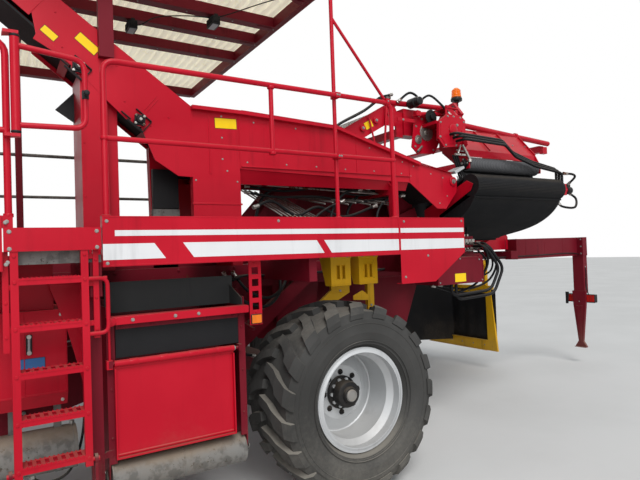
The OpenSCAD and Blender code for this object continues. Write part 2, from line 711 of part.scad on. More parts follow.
module ladder() color(red) from_hitch() {
    y = side_y - 20;
    for (x = [ladder_rear_x, ladder_front_x])
        block([x - 18, y - 26, rung_low_z - 60], [x + 18, y + 12, ladder_top_z - seat_gap]);
    for (i = [0 : rung_count - 1])
        difference() {
            block([ladder_rear_x, y - rung_depth, rung_low_z + i * rung_pitch - rung_h],
                [ladder_front_x, y + 10, rung_low_z + i * rung_pitch]);
            block([ladder_rear_x + 20, y - rung_depth + 3, rung_low_z + i * rung_pitch - rung_h - 1],
                [ladder_front_x - 20, y + 7, rung_low_z + i * rung_pitch - 3]);
            for (j = [0 : 6])
                block([ladder_rear_x + 30 + j * 38, y - rung_depth + 18, rung_low_z + i * rung_pitch - 10],
                    [ladder_rear_x + 50 + j * 38, y - 8, rung_low_z + i * rung_pitch + 1]);
        }
    // pins of the folding step
    for (s = [-1, 1])
        translate([s > 0 ? ladder_front_x + 17 : ladder_rear_x - 17 - 34, y, rung_low_z - 30])
            rotate([0, 90, 0]) cylinder(h = 34, d = 24, $fn = 32);
}

module folding_step() color(dark_red) from_hitch() {
    y = side_y - 20;
    z = rung_low_z - 30;
    for (x = [ladder_rear_x - 18 - 24, ladder_front_x + 18 + 8])
        difference() {
            step_strap(x, y, z);
            translate([x - 1, y, z]) rotate([0, 90, 0]) cylinder(h = 18, d = 24 + 2 * shaft_gap, $fn = 32);
        }
    difference() {
        block([ladder_rear_x - 40, y - 70, z - step_drop - 20],
            [ladder_front_x + 40, y + 20, z - step_drop + 14]);
        block([ladder_rear_x - 20, y - 66, z - step_drop - 21],
            [ladder_front_x + 20, y + 16, z - step_drop + 11]);
        for (j = [0 : 6])
            block([ladder_rear_x + 30 + j * 38, y - 56, z - step_drop],
                [ladder_rear_x + 50 + j * 38, y + 6, z - step_drop + 15]);
    }
}

// Strap of the folding step, with a round end at its pin
module step_strap(x, y, z) {
    translate([x, y, z]) rotate([0, 90, 0]) cylinder(h = 16, d = 52, $fn = 32);
    block([x, y - 22, z - step_drop], [x + 16, y + 20, z]);
}

// Right side: platform with its railing

module platform_right() color(grey) from_hitch() {
    block([canopy_rear_x - 20, -side_y + 60, floor_z - floor_t], [2280, table_right_y - 12, floor_z]);
    rail_hoop(canopy_rear_x + 40, 2240, floor_z, rail_top_z, -side_y + 90, rail_d);
    bar([canopy_rear_x + 40, -side_y + 90, rail_mid_z], [2240, -side_y + 90, rail_mid_z], mid_rail_d);
    bar([1120, -side_y + 90, floor_z], [1120, -side_y + 90, rail_top_z], mid_rail_d);
}

// Picking table and elevator

elev_low = [960, 2450];
elev_dir = [cos(elevator_deg), sin(elevator_deg)];
elev_up = [-elev_dir[1], elev_dir[0]];
elev_len = 1900;
elev_start_x = elev_low[0] + seat_gap;
column_rear_x = 1440;

// The point t along the elevator and h square to it
function on_elevator(t, h) = elev_low + t * elev_dir + h * elev_up;

table_rear = [-1480, 2210];
table_bend = [-1120, 2420];

module table_walls(y0) {
    side_plate([
        [960, 2750], [590, 2748], [-250, 2716], [-1146, 2470], [-1560, 2395], [-1634, 2300], [-1624, 2221],
        [-1480, 2060], [-1369, 2060], [-1040, 2290], [790, 2330], [960, 2250]
    ], y0, y0 + wall_t);
}

module picking_table() color(red) from_hitch() {
    table_walls(table_left_y - wall_t);
    table_walls(table_right_y);
    // top lip of the left wall
    block([590, table_left_y - 1, 2724], [960, table_left_y + 40, 2750]);
    side_plate([[590, 2748], [590, 2724], [-250, 2692], [-250, 2716]], table_left_y - 1, table_left_y + 40);
    side_plate([[-250, 2716], [-250, 2692], [-1146, 2446], [-1146, 2470]], table_left_y - 1,
        table_left_y + 40);
    // sloping flange below the left wall
    cross_plate([
        [table_left_y, 2352], [table_left_y, 2338], [table_left_y - 62, 2222], [table_left_y - 70, 2228],
        [table_left_y - 10, 2345]
    ], -1040, 592);
    // cross ties below the belt
    for (x = [-900, -200, 600])
        block([x, table_right_y + 1, 2335], [x + 50, table_left_y - 1, 2375]);
    // front plates on a cross bar over both frame beams
    for (y = [table_left_y - 60, table_right_y])
        block([600, y, beam_top_z + 59], [958, y + 60, 2340]);
    block([600, beam_right_out, beam_top_z + seat_gap], [680, table_left_y, beam_top_z + 60]);
    // rear portal over the web: left leg on an outrigger, right leg on the frame beam
    x = panel_rear_x + 160;
    block([x, table_left_y - 60, floor_z - floor_t], [x + 60, table_left_y, 2330]);
    block([x, beam_right_y - 30, beam_top_z + seat_gap], [x + 60, beam_right_y + 30, 2240]);
    block([x, beam_right_y - 30, 2180], [x + 60, table_left_y - 1, 2240]);
    block([x, table_right_y, 2239], [x + 60, table_right_y + 60, 2330]);
}

// A wall of the elevator, higher in its lower half, with a notch under its head
module elevator_wall(y0)
    side_plate([
        [elev_start_x, 2400], on_elevator(80, -100), on_elevator(1140, -104), on_elevator(1232, -20),
            on_elevator(1300, 6),
        on_elevator(elev_len, 6), on_elevator(elev_len, 118), [elev_start_x, 2751]
    ], y0, y0 + wall_t);

module elevator() color(red) from_hitch() {
    elevator_wall(table_left_y - wall_t);
    elevator_wall(elevator_right_y);
    // cross ties under the belt
    for (t = [250, 900]) {
        p = on_elevator(t, -98);
        translate([p[0], elevator_right_y + 1, p[1]]) rotate([0, -elevator_deg, 0])
            cube([60, table_left_y - elevator_right_y - 2, 10]);
    }
    // end wall beside the elevator's foot
    block([elev_start_x, table_right_y + wall_t + belt_gap, 2400],
        [elev_start_x + wall_t, elevator_right_y + 1, 2700]);
    // wide column under both walls, on the left frame beam
    for (part = [[column_rear_x + 78, table_left_y - 1], [column_rear_x, table_left_y - 62]])
        side_plate([
            [part[0], floor_z], [column_rear_x + 230, floor_z], on_elevator(833, -99),
            on_elevator((part[0] - elev_low[0] - 99 * elev_dir[1]) / elev_dir[0], -99)
        ], beam_left_y - 40, part[1]);
    block([column_rear_x, beam_left_y - 40, beam_top_z + seat_gap],
        [column_rear_x + 230, beam_left_out - 2, floor_z + 1]);
    // post under the foot of the right wall
    side_plate([
        [985, beam_top_z + seat_gap], [1165, beam_top_z + seat_gap], on_elevator(200, -99),
            on_elevator(80, -99), [985, 2390]
    ], elevator_right_y, beam_left_y);
    // bearings on the wall
    for (t = [376, 846]) {
        p = on_elevator(t, -100);
        translate([p[0], table_left_y - 1, p[1]]) rotate([-90, 0, 0]) cylinder(h = 30, d = 80, $fn = 32);
    }
    // head's shaft plates
    for (y = [table_left_y - 1, elevator_right_y - 19]) {
        p = on_elevator(elev_len - 110, 60);
        translate([p[0], y, p[1]]) rotate([-90, 0, 0]) cylinder(h = 20, d = 110, $fn = 32);
    }
}

module sorting_belts() color(rubber) from_hitch() {
    y0 = table_right_y + wall_t + belt_gap;
    y1 = table_left_y - wall_t - belt_gap;
    driven_belt([-900, 2470], [800, 2470], 130, y0, y1);
    driven_belt(table_rear, table_bend - [20, 10], 110, y0, y1);
    driven_belt(on_elevator(110, 0), on_elevator(elev_len - 110, 0), 130,
        elevator_right_y + wall_t + belt_gap, y1);
    // cleats of the elevator belt
    for (t = [200 : 220 : elev_len - 200]) {
        p = on_elevator(t, 65 + belt_t - 1);
        translate([p[0], elevator_right_y + 34, p[1]]) rotate([0, -elevator_deg, 0])
            cube([10, y1 - elevator_right_y - 54, 36]);
    }
}

// Canopy

module canopy_frame() color(dark_red) from_hitch() {
    h = canopy_beam_h;
    for (y = [canopy_right_y, -260, 220, 590, canopy_left_y - 60])
        block([canopy_rear_x, y, canopy_z], [canopy_front_x, y + 60, canopy_z + h]);
    for (x = [canopy_rear_x, canopy_front_x - 50])
        block([x, canopy_right_y, canopy_z], [x + 50, canopy_left_y, canopy_z + h]);
    // posts down to the platforms
    for (post = [[1880, -side_y + 110, 60], [1250, table_right_y - 70, 140]])
        block([post[0], post[1], floor_z], [post[0] + post[2], post[1] + 60, canopy_z + 1]);
    // post on the elevator's left wall
    block([1470, table_left_y + seat_gap, 2990], [1560, table_left_y + 50, canopy_z + 1]);
}

module canopy_sheets() color(cream) from_hitch() {
    wave = 76;
    z = canopy_z + canopy_beam_h + seat_gap;
    count = floor((canopy_front_x - canopy_rear_x) / wave);
    // corrugations run across the machine
    translate([canopy_rear_x, canopy_left_y, z]) rotate([90, 0, 0])
        linear_extrude(canopy_left_y - canopy_right_y)
            polygon(concat(
                [for (i = [0 : count - 1], k = [0, 1, 2, 3])
                    [i * wave + [0, 26, 38, 64][k], [0, 0, canopy_sheet_t - 4, canopy_sheet_t - 4][k]]],
                [for (i = [count - 1 : -1 : 0], k = [3, 2, 1, 0])
                    [i * wave + [0, 26, 38, 64][k], [4, 4, canopy_sheet_t, canopy_sheet_t][k]]]
            ));
}

module lamps() color(black) from_hitch() {
    // work lamps under the canopy
    for (p = [[1190, 250, canopy_z], [640, 620, canopy_z]])
        translate(p) {
            translate([-45, -60, -75]) cube([60, 120, 60]);
            translate([-10, -10, -16]) cube([20, 20, 16 - seat_gap]);
        }
    // rear lamps on the light carrier's leg
    for (s = [-1, 1])
        translate([carrier_rear_x + 4, carrier_y + s * 150 - 60, 850]) cube([60, 120, 110]);
    translate([carrier_rear_x + 14, carrier_y - 100, 870]) cube([52 - seat_gap, 200, 60]);
}

module beacon() color(amber) from_hitch() translate([-2530, 200, beacon_z + seat_gap]) {
    cylinder(h = 36, d = 120, $fn = 48);
    translate([0, 0, 35]) cylinder(h = 94, d1 = 112, d2 = 96, $fn = 48);
    translate([0, 0, 128]) cylinder(h = 22, d1 = 96, d2 = 50, $fn = 48);
}

// Bunker and overloading boom

bunker_floor_z = beam_top_z + 40;
bunker_wall = 40;
boom_pivot = [bunker_left_y + 75, bunker_floor_z + 20];

module bunker() color(red) from_hitch() {
    x0 = bunker_rear_x;
    x1 = bunker_front_x;
    z0 = beam_top_z + seat_gap;
    y0 = beam_right_out;
    // rear and front walls
    for (x = [x0, x1 - bunker_wall])
        cross_plate([
            [y0, z0], [bunker_left_y, z0], [bunker_left_y, bunker_top_z], [bunker_right_y, bunker_top_z],
            [bunker_right_y, 2400]
        ], x, x + bunker_wall);
    // right wall, slanted below
    cross_plate([
        [y0, z0], [y0 + 50, z0], [bunker_right_y + bunker_wall, 2410],
        [bunker_right_y + bunker_wall, bunker_top_z], [bunker_right_y, bunker_top_z], [bunker_right_y, 2400]
    ], x0, x1);
    // floor pan
    block([x0, y0, z0], [x1, bunker_left_y, bunker_floor_z - 10]);
    // ribs on the walls
    for (y = [-900, -300, 300, 900])
        block([x1 - 1, y, z0 + 20], [x1 + 40, y + 60, bunker_top_z]);
    for (z = [bunker_top_z - 60, 2300])
        block([x1 - 1, bunker_right_y + 60, z], [x1 + 60, bunker_left_y, z + 60]);
    // ears of the boom's pin
    for (x = [x0 + 2, x1 - 32])
        difference() {
            cross_plate([
                [bunker_left_y - 10, z0], [boom_pivot[0] + 40, z0],
                    [boom_pivot[0] + 40, boom_pivot[1] + 40],
                [bunker_left_y - 10, boom_pivot[1] + 120]
            ], x, x + 30);
            translate([x - 1, boom_pivot[0], boom_pivot[1]]) rotate([0, 90, 0])
                cylinder(h = 32, d = 50 + 2 * shaft_gap, $fn = 48);
        }
    // base of the boom's cylinder
    translate([x1 - 1, boom_base[0], boom_base[1]]) rotate([0, 90, 0]) cylinder(h = 80, d = 96, $fn = 48);
    translate([x1 + 78, boom_base[0], boom_base[1]]) rotate([0, 90, 0])
        cylinder(h = 50, d = pin_d, $fn = 32);
}

boom_base = [330, 1760];

module bunker_belt() color(rubber) from_hitch() {
    x0 = bunker_rear_x + bunker_wall + belt_gap;
    x1 = bunker_front_x - bunker_wall - belt_gap;
    block([x0, beam_right_out + 60, bunker_floor_z - 10 + seat_gap],
        [x1, bunker_left_y - 12, bunker_floor_z + 12]);
    for (y = [beam_right_out + 120 : 150 : bunker_left_y - 60])
        block([x0, y, bunker_floor_z + 11], [x1, y + 24, bunker_floor_z + 36]);
}

module boom() color(red) from_hitch() {
    x0 = bunker_rear_x + 2 + 30 + move_gap;
    x1 = bunker_front_x - 2 - 30 - move_gap;
    p = boom_pivot;
    difference() {
        union() {
            // side walls, folded up
            for (x = [x0, x1 - 10])
                cross_plate([
                    [p[0] - 60, p[1] - 30], [p[0] + boom_depth - 60, p[1] - 30],
                        [p[0] + boom_depth - 60, p[1] + boom_len - 80],
                    [p[0] + boom_depth - 120, p[1] + boom_len], [p[0] - 60, p[1] + boom_len]
                ], x, x + 10);
            // outer skin and ties
            block([x0, p[0] + boom_depth - 66, p[1] - 30],
                [x1, p[0] + boom_depth - 60, p[1] + boom_len - 80]);
            for (z = [p[1] + 60, p[1] + 800, p[1] + boom_len - 120])
                block([x0, p[0] + boom_depth - 110, z], [x1, p[0] + boom_depth - 61, z + 40]);
            // hub tube on the pin's line
            translate([x0, p[0], p[1]]) rotate([0, 90, 0]) cylinder(h = x1 - x0, d = 80, $fn = 48);
        }
        translate([x0 - 1, p[0], p[1]]) rotate([0, 90, 0])
            cylinder(h = x1 - x0 + 2, d = 50 - 2 * shaft_gap, $fn = 48);
    }
    // pin stubs in the bunker's ears
    for (x = [x0 - 38, x1 - 2])
        translate([x, p[0], p[1]]) rotate([0, 90, 0]) cylinder(h = 40, d = 50, $fn = 48);
    // lug of the boom's cylinder
    block([x1 - 1, p[0] + 70, p[1] + 480], [bunker_front_x + 79, p[0] + 150, p[1] + 500]);
    block([bunker_front_x + 59, p[0] + 60, p[1] + 481], [bunker_front_x + 79, p[0] + 150, p[1] + 600]);
}

module boom_belt() color(rubber) from_hitch() {
    x0 = bunker_rear_x + 2 + 30 + move_gap + 10 + belt_gap;
    x1 = bunker_front_x - 2 - 30 - move_gap - 10 - belt_gap;
    p = boom_pivot;
    block([x0, p[0] - 40, p[1] + 60], [x1, p[0] - 40 + 2 * belt_t, p[1] + boom_len - 60]);
    for (z = [p[1] + 160 : 200 : p[1] + boom_len - 100])
        block([x0, p[0] - 62, z], [x1, p[0] - 39, z + 20]);
    // shafts that end in the boom's side walls
    for (z = [p[1] + 80, p[1] + boom_len - 80])
        translate([x0 - belt_gap + seat_gap, p[0] - 40 + belt_t, z]) rotate([0, 90, 0])
            cylinder(h = x1 - x0 + 2 * (belt_gap - seat_gap), d = 20, $fn = 32);
}

boom_tip = [boom_pivot[0] + 110, boom_pivot[1] + 560];
boom_cyl_len = norm(boom_tip - boom_base);
module boom_cyl_place() translate([bunker_front_x + 79 + eye_half + seat_gap, boom_base[0], boom_base[1]])
    rotate([0, 0, 90])
        rotate([0, -atan2(boom_tip[1] - boom_base[1], boom_tip[0] - boom_base[0]), 0]) children();
module boom_barrel() color(black) from_hitch() boom_cyl_place() cylinder_barrel(boom_cyl_len - 170, 80);
module boom_rod() color(steel) from_hitch() boom_cyl_place() cylinder_rod(boom_cyl_len, 600, 80);

// Trash hopper with its door, roller and flap, in front of the left wheel

hopper_rear_x = 800;
hopper_front_x = 1632;
door_y = 1450;

module trash_hopper() color(dark_red) from_hitch() {
    // sloping chute down to the door
    for (x = [hopper_rear_x, hopper_front_x - 8])
        cross_plate([
            [beam_left_out + 2, 1430], [door_y, 1430], [door_y, 540], [1430, 410], [1340, 410],
                [1240, 560], [1100, 900]
        ], x, x + 8);
    cross_plate([[beam_left_out + 2, 1430], [beam_left_out + 14, 1430], [1108, 900], [1248, 560],
        [1240, 552], [1098, 896]],
        hopper_rear_x, hopper_front_x);
    // top rail over the flap and its lip bar
    block([hopper_rear_x, door_y - 10, 1330], [hopper_front_x, door_y, 1373]);
    block([hopper_rear_x - 8, door_y - 1, 1340], [hopper_front_x, door_y + 60, 1372]);
    // strips beside the door
    for (x = [hopper_rear_x, hopper_front_x - 44])
        block([x, door_y - 12, 560], [x + 44, door_y, 1331]);
    door_pin();
    // ties to the frame
    for (x = [hopper_rear_x, hopper_front_x - 60])
        block([x, beam_left_out + seat_gap, beam_z - 50], [x + 60, beam_left_out + 80, beam_z]);
}

door_hinge_z = 1118;
module trash_door() color(red) from_hitch() {
    x0 = hopper_rear_x + 90;
    x1 = hopper_front_x - 34;
    block([x0, door_y + 8, 590], [x1, door_y + 14, door_hinge_z - 30]);
    block([x0, door_y + 13, 590], [x1, door_y + 36, 598]);
    for (x = [x0, x1 - 8])
        block([x, door_y + 13, 590], [x + 8, door_y + 36, door_hinge_z - 30]);
    difference() {
        union() {
            translate([x0, door_y + 26, door_hinge_z]) rotate([0, 90, 0])
                cylinder(h = x1 - x0, d = 36, $fn = 32);
            block([x0, door_y + 8, door_hinge_z - 31], [x1, door_y + 20, door_hinge_z]);
        }
        translate([x0 - 1, door_y + 26, door_hinge_z]) rotate([0, 90, 0])
            cylinder(h = x1 - x0 + 2, d = 18 + 2 * shaft_gap, $fn = 32);
    }
}

module door_pin() {
    translate([hopper_rear_x + 40, door_y + 26, door_hinge_z]) rotate([0, 90, 0])
        cylinder(h = hopper_front_x - hopper_rear_x - 40, d = 18, $fn = 32);
    for (x = [hopper_rear_x + 40, hopper_front_x - 24])
        block([x, door_y - 1, door_hinge_z - 20], [x + 20, door_y + 44, door_hinge_z + 20]);
}

module trash_roller() color(grey) from_hitch() {
    x0 = hopper_rear_x + 8 + seat_gap;
    x1 = hopper_front_x - 8 - seat_gap;
    translate([x0, 1385, 465]) rotate([0, 90, 0]) cylinder(h = x1 - x0, d = 50, $fn = 32);
    translate([x0 + 6, 1385, 465]) rotate([0, 90, 0]) cylinder(h = x1 - x0 - 12, d = 180, $fn = 64);
}

module rubber_flaps() color(rubber) from_hitch() {
    // flap over the trash door
    block([hopper_rear_x + 48, door_y + seat_gap, 1144], [hopper_front_x - 48, door_y + 6, 1339]);
    // rear curtain
    block([curtain_x, curtain_right, 250], [curtain_x + 12, curtain_left, 1090]);
}

module oil_tank() color(red) from_hitch() {
    x0 = 1800;
    x1 = 2230;
    translate([x1, 0, 0]) rotate([0, -90, 0]) linear_extrude(x1 - x0)
        polygon([[880, 800], [940, 760], [beam_z - 20, 760], [beam_z - 20, 1180], [940, 1180],
            [860, 1120], [860, 860]]);
    block([x0 + 60, beam_left_out + seat_gap, beam_z - 80], [x1 - 60, 775, beam_z + 120]);
    block([x0 + 60, 1080, beam_z - 21], [x1 - 60, 1120, floor_z - floor_t - seat_gap]);
}

module air_tank() color(grey) from_hitch() {
    translate([1740, 960, 560]) rotate([0, 90, 0]) cylinder(h = 440, d = 260, $fn = 64);
    for (x = [1820, 2060])
        block([x, 940, 560], [x + 40, 980, 860 - seat_gap]);
}

// Main web, digging unit and its tools

web_low = [dig_pivot_x, dig_pivot_z];
dig_pin_d = 60;
web_high = [web_rear_x, web_rear_z];

// Side wall of a crop channel between two points, h_down below and h_up above their line
module channel_wall_plate(a, b, h_down, h_up, y0) {
    v = (b - a) / norm(b - a);
    n = v[0] > 0 ? [-v[1], v[0]] : [v[1], -v[0]];
    side_plate([a - h_down * n, b - h_down * n, b + h_up * n, a + h_up * n], y0, y0 + channel_wall);
}

module web_frame() color(dark_red) from_hitch() {
    a = web_low + [-20, 10];
    b = web_high;
    for (y = [channel_left, channel_right - channel_wall])
        difference() {
            channel_wall_plate(a, b, 130, 190, y);
            translate([dig_pivot_x, y - 1, dig_pivot_z]) rotate([-90, 0, 0])
                cylinder(h = channel_wall + 2, d = dig_pin_d + 2 * shaft_gap, $fn = 32);
        }
    // brackets on the frame beams
    block([-1100, channel_out_left - 1, beam_z + 20],
        [-900, beam_left_y - beam_w / 2 - seat_gap, beam_z + 140]);
    block([-1100, beam_right_y + beam_w / 2 + seat_gap, beam_z + 20],
        [-900, channel_out_right + 1, beam_z + 140]);
    for (y = [channel_left, channel_right - channel_wall])
        block([900, y, 940], [960, y + channel_wall, beam_z + 60]);
    block([900, channel_out_left - 1, beam_z + 20],
        [960, beam_left_y - beam_w / 2 - seat_gap, beam_z + 60]);
    block([900, beam_right_y + beam_w / 2 + seat_gap, beam_z + 20],
        [960, channel_out_right + 1, beam_z + 60]);
}

// An endless web: rods across, carried by a belt at each side
module rod_web(a, b, roller_d, y0, y1, reach) {
    strap = 60;
    for (y = [y0, y1 - strap]) belt_loop(a, b, roller_d, 10, y, y + strap);
    v = (b - a) / norm(b - a);
    n = [-v[1], v[0]];
    belt_drums(a, b, roller_d, y0, y1, reach);
    for (t = [0 : web_pitch : norm(b - a)], s = [-1, 1]) {
        p = a + t * v + s * (roller_d / 2 + 5) * n;
        translate([p[0], y0 + 1, p[1]]) rotate([-90, 0, 0])
            cylinder(h = y1 - y0 - 2, d = web_rod_d, $fn = 16);
    }
}

haulm_a = [-1180, 3040];
haulm_b = [-640, 2740];
tube_left_y = 600;
haulm_left_y = tube_left_y;
haulm_right_y = table_right_y - 550;

module main_web() color(steel) from_hitch() {
    y0 = channel_right + belt_gap;
    y1 = channel_left - belt_gap;
    rod_web(web_high + [40, -16], web_low + [-180, 70], web_roller_d, y0, y1, belt_gap - seat_gap);
    // rear rods of the haulm web beside the picking table
    rod_web(haulm_a, haulm_b, 90, haulm_right_y + 30, haulm_left_y - 30, 20 - seat_gap);
}

dig_low = [share_x - 260, share_z + 110];

dig_inset = channel_wall + 4;

module digging_frame() color(dark_red) from_hitch() {
    inset = dig_inset;
    for (y = [channel_left - inset - channel_wall, channel_right + inset])
        difference() {
            side_plate([
                [dig_pivot_x - 50, dig_pivot_z - 60], [dig_low[0], share_z - 20],
                    [share_x - 60, share_z + 20],
                [share_x + 520, share_z + 370], [share_x + 600, share_z + 480],
                    [share_x + 570, share_z + 840],
                [share_x + 440, share_z + 840], [share_x + 330, share_z + 640],
                    [share_x - 200, share_z + 620],
                [dig_pivot_x + 300, dig_pivot_z + 190], [dig_pivot_x - 50, dig_pivot_z + 70]
            ], y, y + channel_wall);
            translate([diabolo_c[0], y - 1, diabolo_c[1]]) rotate([-90, 0, 0])
                cylinder(h = channel_wall + 2, d = 40, $fn = 32);
            translate([disc_c[0], y - 1, disc_c[1]]) rotate([-90, 0, 0])
                cylinder(h = channel_wall + 2, d = 40, $fn = 32);
        }
    // pivot shaft at the rear
    translate([dig_pivot_x, channel_out_right - 4, dig_pivot_z]) rotate([-90, 0, 0])
        cylinder(h = channel_w + 2 * channel_wall + 8, d = dig_pin_d, $fn = 32);
    // ties over the diabolo rollers and under the shares
    block([share_x + 450, channel_right + inset, share_z + 770],
        [share_x + 540, channel_left - inset, share_z + 835]);
    at_shares() block([-400, channel_right + inset, -50], [-320, channel_left - inset, -seat_gap]);
    // lug of the lift cylinder
    block([lift_tip[0] - 45, lift_y + eye_half + seat_gap, lift_tip[1] - 45],
        [lift_tip[0] + 45, channel_right + inset + 1, lift_tip[1] + 45]);
}

module digging_web() color(steel) from_hitch() {
    inset = dig_inset + channel_wall;
    y0 = channel_right + inset + belt_gap;
    y1 = channel_left - inset - belt_gap;
    rod_web(dig_low + [-250, 90], [dig_pivot_x + 160, dig_pivot_z], 160, y0, y1, belt_gap - seat_gap);
}

share_deg = 14;
share_t = 14;
module at_shares() translate([share_x, 0, share_z]) rotate([0, share_deg, 0]) children();

// Two blades, pointed in plan and rising to the rear, with tail bars behind them
module shares() color(steel) from_hitch() at_shares()
    for (s = [-1, 1])
        translate([0, channel_y + s * row_pitch / 2, 0]) {
            linear_extrude(share_t)
                polygon([[0, -40], [0, 40], [-160, 300], [-400, 330], [-400, -330], [-160, -300]]);
            for (i = [-2.5 : 1 : 2.5])
                block([-450, i * 110 - 8, share_t - 1], [-300, i * 110 + 8, share_t + 16]);
        }

diabolo_c = [share_x + 480, share_z + 440];
disc_c = [share_x + 60, share_z + 300];

module disc_coulters() color(steel) from_hitch() {
    for (y = [channel_left - 45, channel_right + 37]) translate([disc_c[0], y, disc_c[1]])
        rotate([-90, 0, 0]) {
        cylinder(h = 8, d = disc_d, $fn = 96);
        translate([0, 0, -7]) cylinder(h = 22, d = 150, $fn = 48);
    }
    translate([disc_c[0], channel_right + 15, disc_c[1]]) rotate([-90, 0, 0])
        cylinder(h = channel_w - 30, d = 40 - 2 * shaft_gap, $fn = 32);
}

module diabolo_rollers() color(grey) from_hitch() {
    for (s = [-1, 1])
        translate([diabolo_c[0], channel_y + s * row_pitch / 2, diabolo_c[1]]) rotate([-90, 0, 0])
            rotate_extrude($fn = 64) polygon([
                [0, -285], [diabolo_d / 2, -285], [diabolo_d / 2, -262], [180, -110], [150, 0], [180, 110],
                [diabolo_d / 2, 262], [diabolo_d / 2, 285], [0, 285]
            ]);
    translate([diabolo_c[0], channel_right + 15, diabolo_c[1]]) rotate([-90, 0, 0])
        cylinder(h = channel_w - 30, d = 40 - 2 * shaft_gap, $fn = 32);
}

// Lift cylinder on the right, upright
lift_base = [2440, beam_z - 60];
lift_tip = [2440, 760];
lift_len = norm(lift_tip - lift_base);
lift_y = beam_right_y + 25;
module lift_place() translate([lift_base[0], lift_y, lift_base[1]]) rotate([0, 90, 0]) children();
module lift_barrel() color(black) from_hitch() lift_place() cylinder_barrel(lift_len - 100, 70);
module lift_rod() color(steel) from_hitch() lift_place() cylinder_rod(lift_len, 530, 70);

// Rear separators

length_belt_left = channel_left - 500;
web_end_x = web_rear_x - 100;
end_plates = [finger_front_x + 4, finger_rear_x - 14];
tube_low_z = 2800;
tube_s = 80;
tube_rear_x = -3560;
tube_front_x = -1330;

module separator_frame() color(red) from_hitch() {
    // side plates of the lengthwise belt
    for (y = [length_belt_left, channel_right])
        side_plate([
            [web_end_x, 1640], [web_end_x, 1900], [-3420, 1900], [-3500, 1800], [-3500, 1640]
        ], y, y + 10);
    // end plates of the cross belt, inside its outline
    for (x = end_plates)
        cross_plate([
            [length_belt_left + 1, 1700], [finger_in_y + 34, finger_in_z - 77],
                [finger_out_y + 20, finger_out_z - 50],
            [finger_out_y + 52, finger_out_z + 12], [finger_out_y - 20, finger_out_z + 48],
            [finger_in_y - 34, finger_in_z + 77], [length_belt_left + 1, 1880]
        ], x, x + 10);
    // front foot on the left frame beam
    block([end_plates[0], beam_left_y - 40, beam_top_z + seat_gap],
        [end_plates[0] + 10, beam_left_y + 40, 2060]);
    for (x = [-1800, -3400])
        block([x, beam_right_y - 20, beam_top_z + seat_gap], [x + 60, channel_right + 9, 1700]);
    // bearing block and motor of the cross belt
    block([end_plates[1] - 70, finger_out_y - 60, finger_out_z - 60],
        [end_plates[1] + 1, finger_out_y + 60, finger_out_z + 60]);
    translate([end_plates[1] - 130, finger_out_y, finger_out_z]) rotate([0, 90, 0])
        cylinder(h = 61, d = 76, $fn = 48);
    // square tubes over the belts, on posts at the right
    block([tube_rear_x, beam_right_y - tube_s / 2, tube_low_z],
        [tube_front_x + tube_s, beam_right_y + tube_s / 2, tube_low_z + tube_s]);
    for (x = [tube_rear_x, tube_front_x])
        block([x, beam_right_y, tube_low_z], [x + tube_s, tube_left_y, tube_low_z + tube_s]);
    for (x = [frame_rear_x, tube_front_x])
        block([x, beam_right_y - tube_s / 2, beam_top_z + seat_gap],
            [x + tube_s, beam_right_y + tube_s / 2, tube_low_z + 1]);
    // box in front of the gears
    block([-1530, 480, tube_low_z + 20], [tube_front_x + 1, tube_left_y + 20, tube_low_z + tube_s]);
    block([-1530, 480, tube_low_z + tube_s - 1],
        [tube_front_x - seat_gap, tube_left_y + 20, tube_low_z + 285]);
    // hanger beside the picking table's right wall
    block([tube_front_x, table_right_y - 40, table_wall_z],
        [tube_front_x + tube_s, table_right_y - seat_gap, tube_low_z + 1]);
}
table_wall_z = 2390;

module finger_belts() color(black) from_hitch() {
    // cross belt, drawn in y and z
    a = [finger_in_y, finger_in_z];
    b = [finger_out_y, finger_out_z];
    deg = atan2(b[1] - a[1], b[0] - a[0]);
    reach = norm(b - a);
    x0 = finger_rear_x + belt_gap;
    x1 = finger_front_x - belt_gap;
    r = finger_roller_d / 2;
    translate([x0, a[0], a[1]]) rotate([90, 0, 90]) rotate([0, 0, deg]) linear_extrude(x1 - x0)
        difference() {
        union() {
            circle(r = r + belt_t, $fn = 64);
            translate([reach, 0]) circle(r = r + belt_t, $fn = 64);
            translate([0, -r - belt_t]) square([reach, 2 * (r + belt_t)]);
            for (t = [0 : rib_pitch : reach], s = [-1, 1])
                translate([t - 6, s > 0 ? r + belt_t - 1 : -r - belt_t - 17]) square([12, 18]);
        }
        circle(r = r, $fn = 64);
        translate([reach, 0]) circle(r = r, $fn = 64);
        translate([0, -r]) square([reach, 2 * r]);
    }
    // its drums and shafts between the end plates
    for (p = [a, b]) {
        for (x = [x0 + 2, x1 - 58])
            translate([x, p[0], p[1]]) rotate([0, 90, 0]) cylinder(h = 56, r = r + 3, $fn = 64);
        translate([end_plates[1] + 10 + seat_gap, p[0], p[1]]) rotate([0, 90, 0])
            cylinder(h = end_plates[0] - end_plates[1] - 10 - 2 * seat_gap, d = 50, $fn = 32);
    }
    // lengthwise belt
    driven_belt([-3380, 1770], [web_end_x - 110, 1770], 160, channel_right + 10 + belt_gap,
        length_belt_left - belt_gap);
    // deflector roller over the cross belt, on a shaft between the hood's end plates
    translate([hood_plates[1] + 10 + seat_gap, 900, 2520]) rotate([0, 90, 0])
        cylinder(h = hood_plates[0] - hood_plates[1] - 10 - 2 * seat_gap, d = 40, $fn = 32);
    translate([hood_plates[1] + 20, 900, 2520]) rotate([0, 90, 0])
        cylinder(h = hood_plates[0] - hood_plates[1] - 30, d = 120, $fn = 48);
}

hood_plates = [-1870, finger_rear_x + 20];

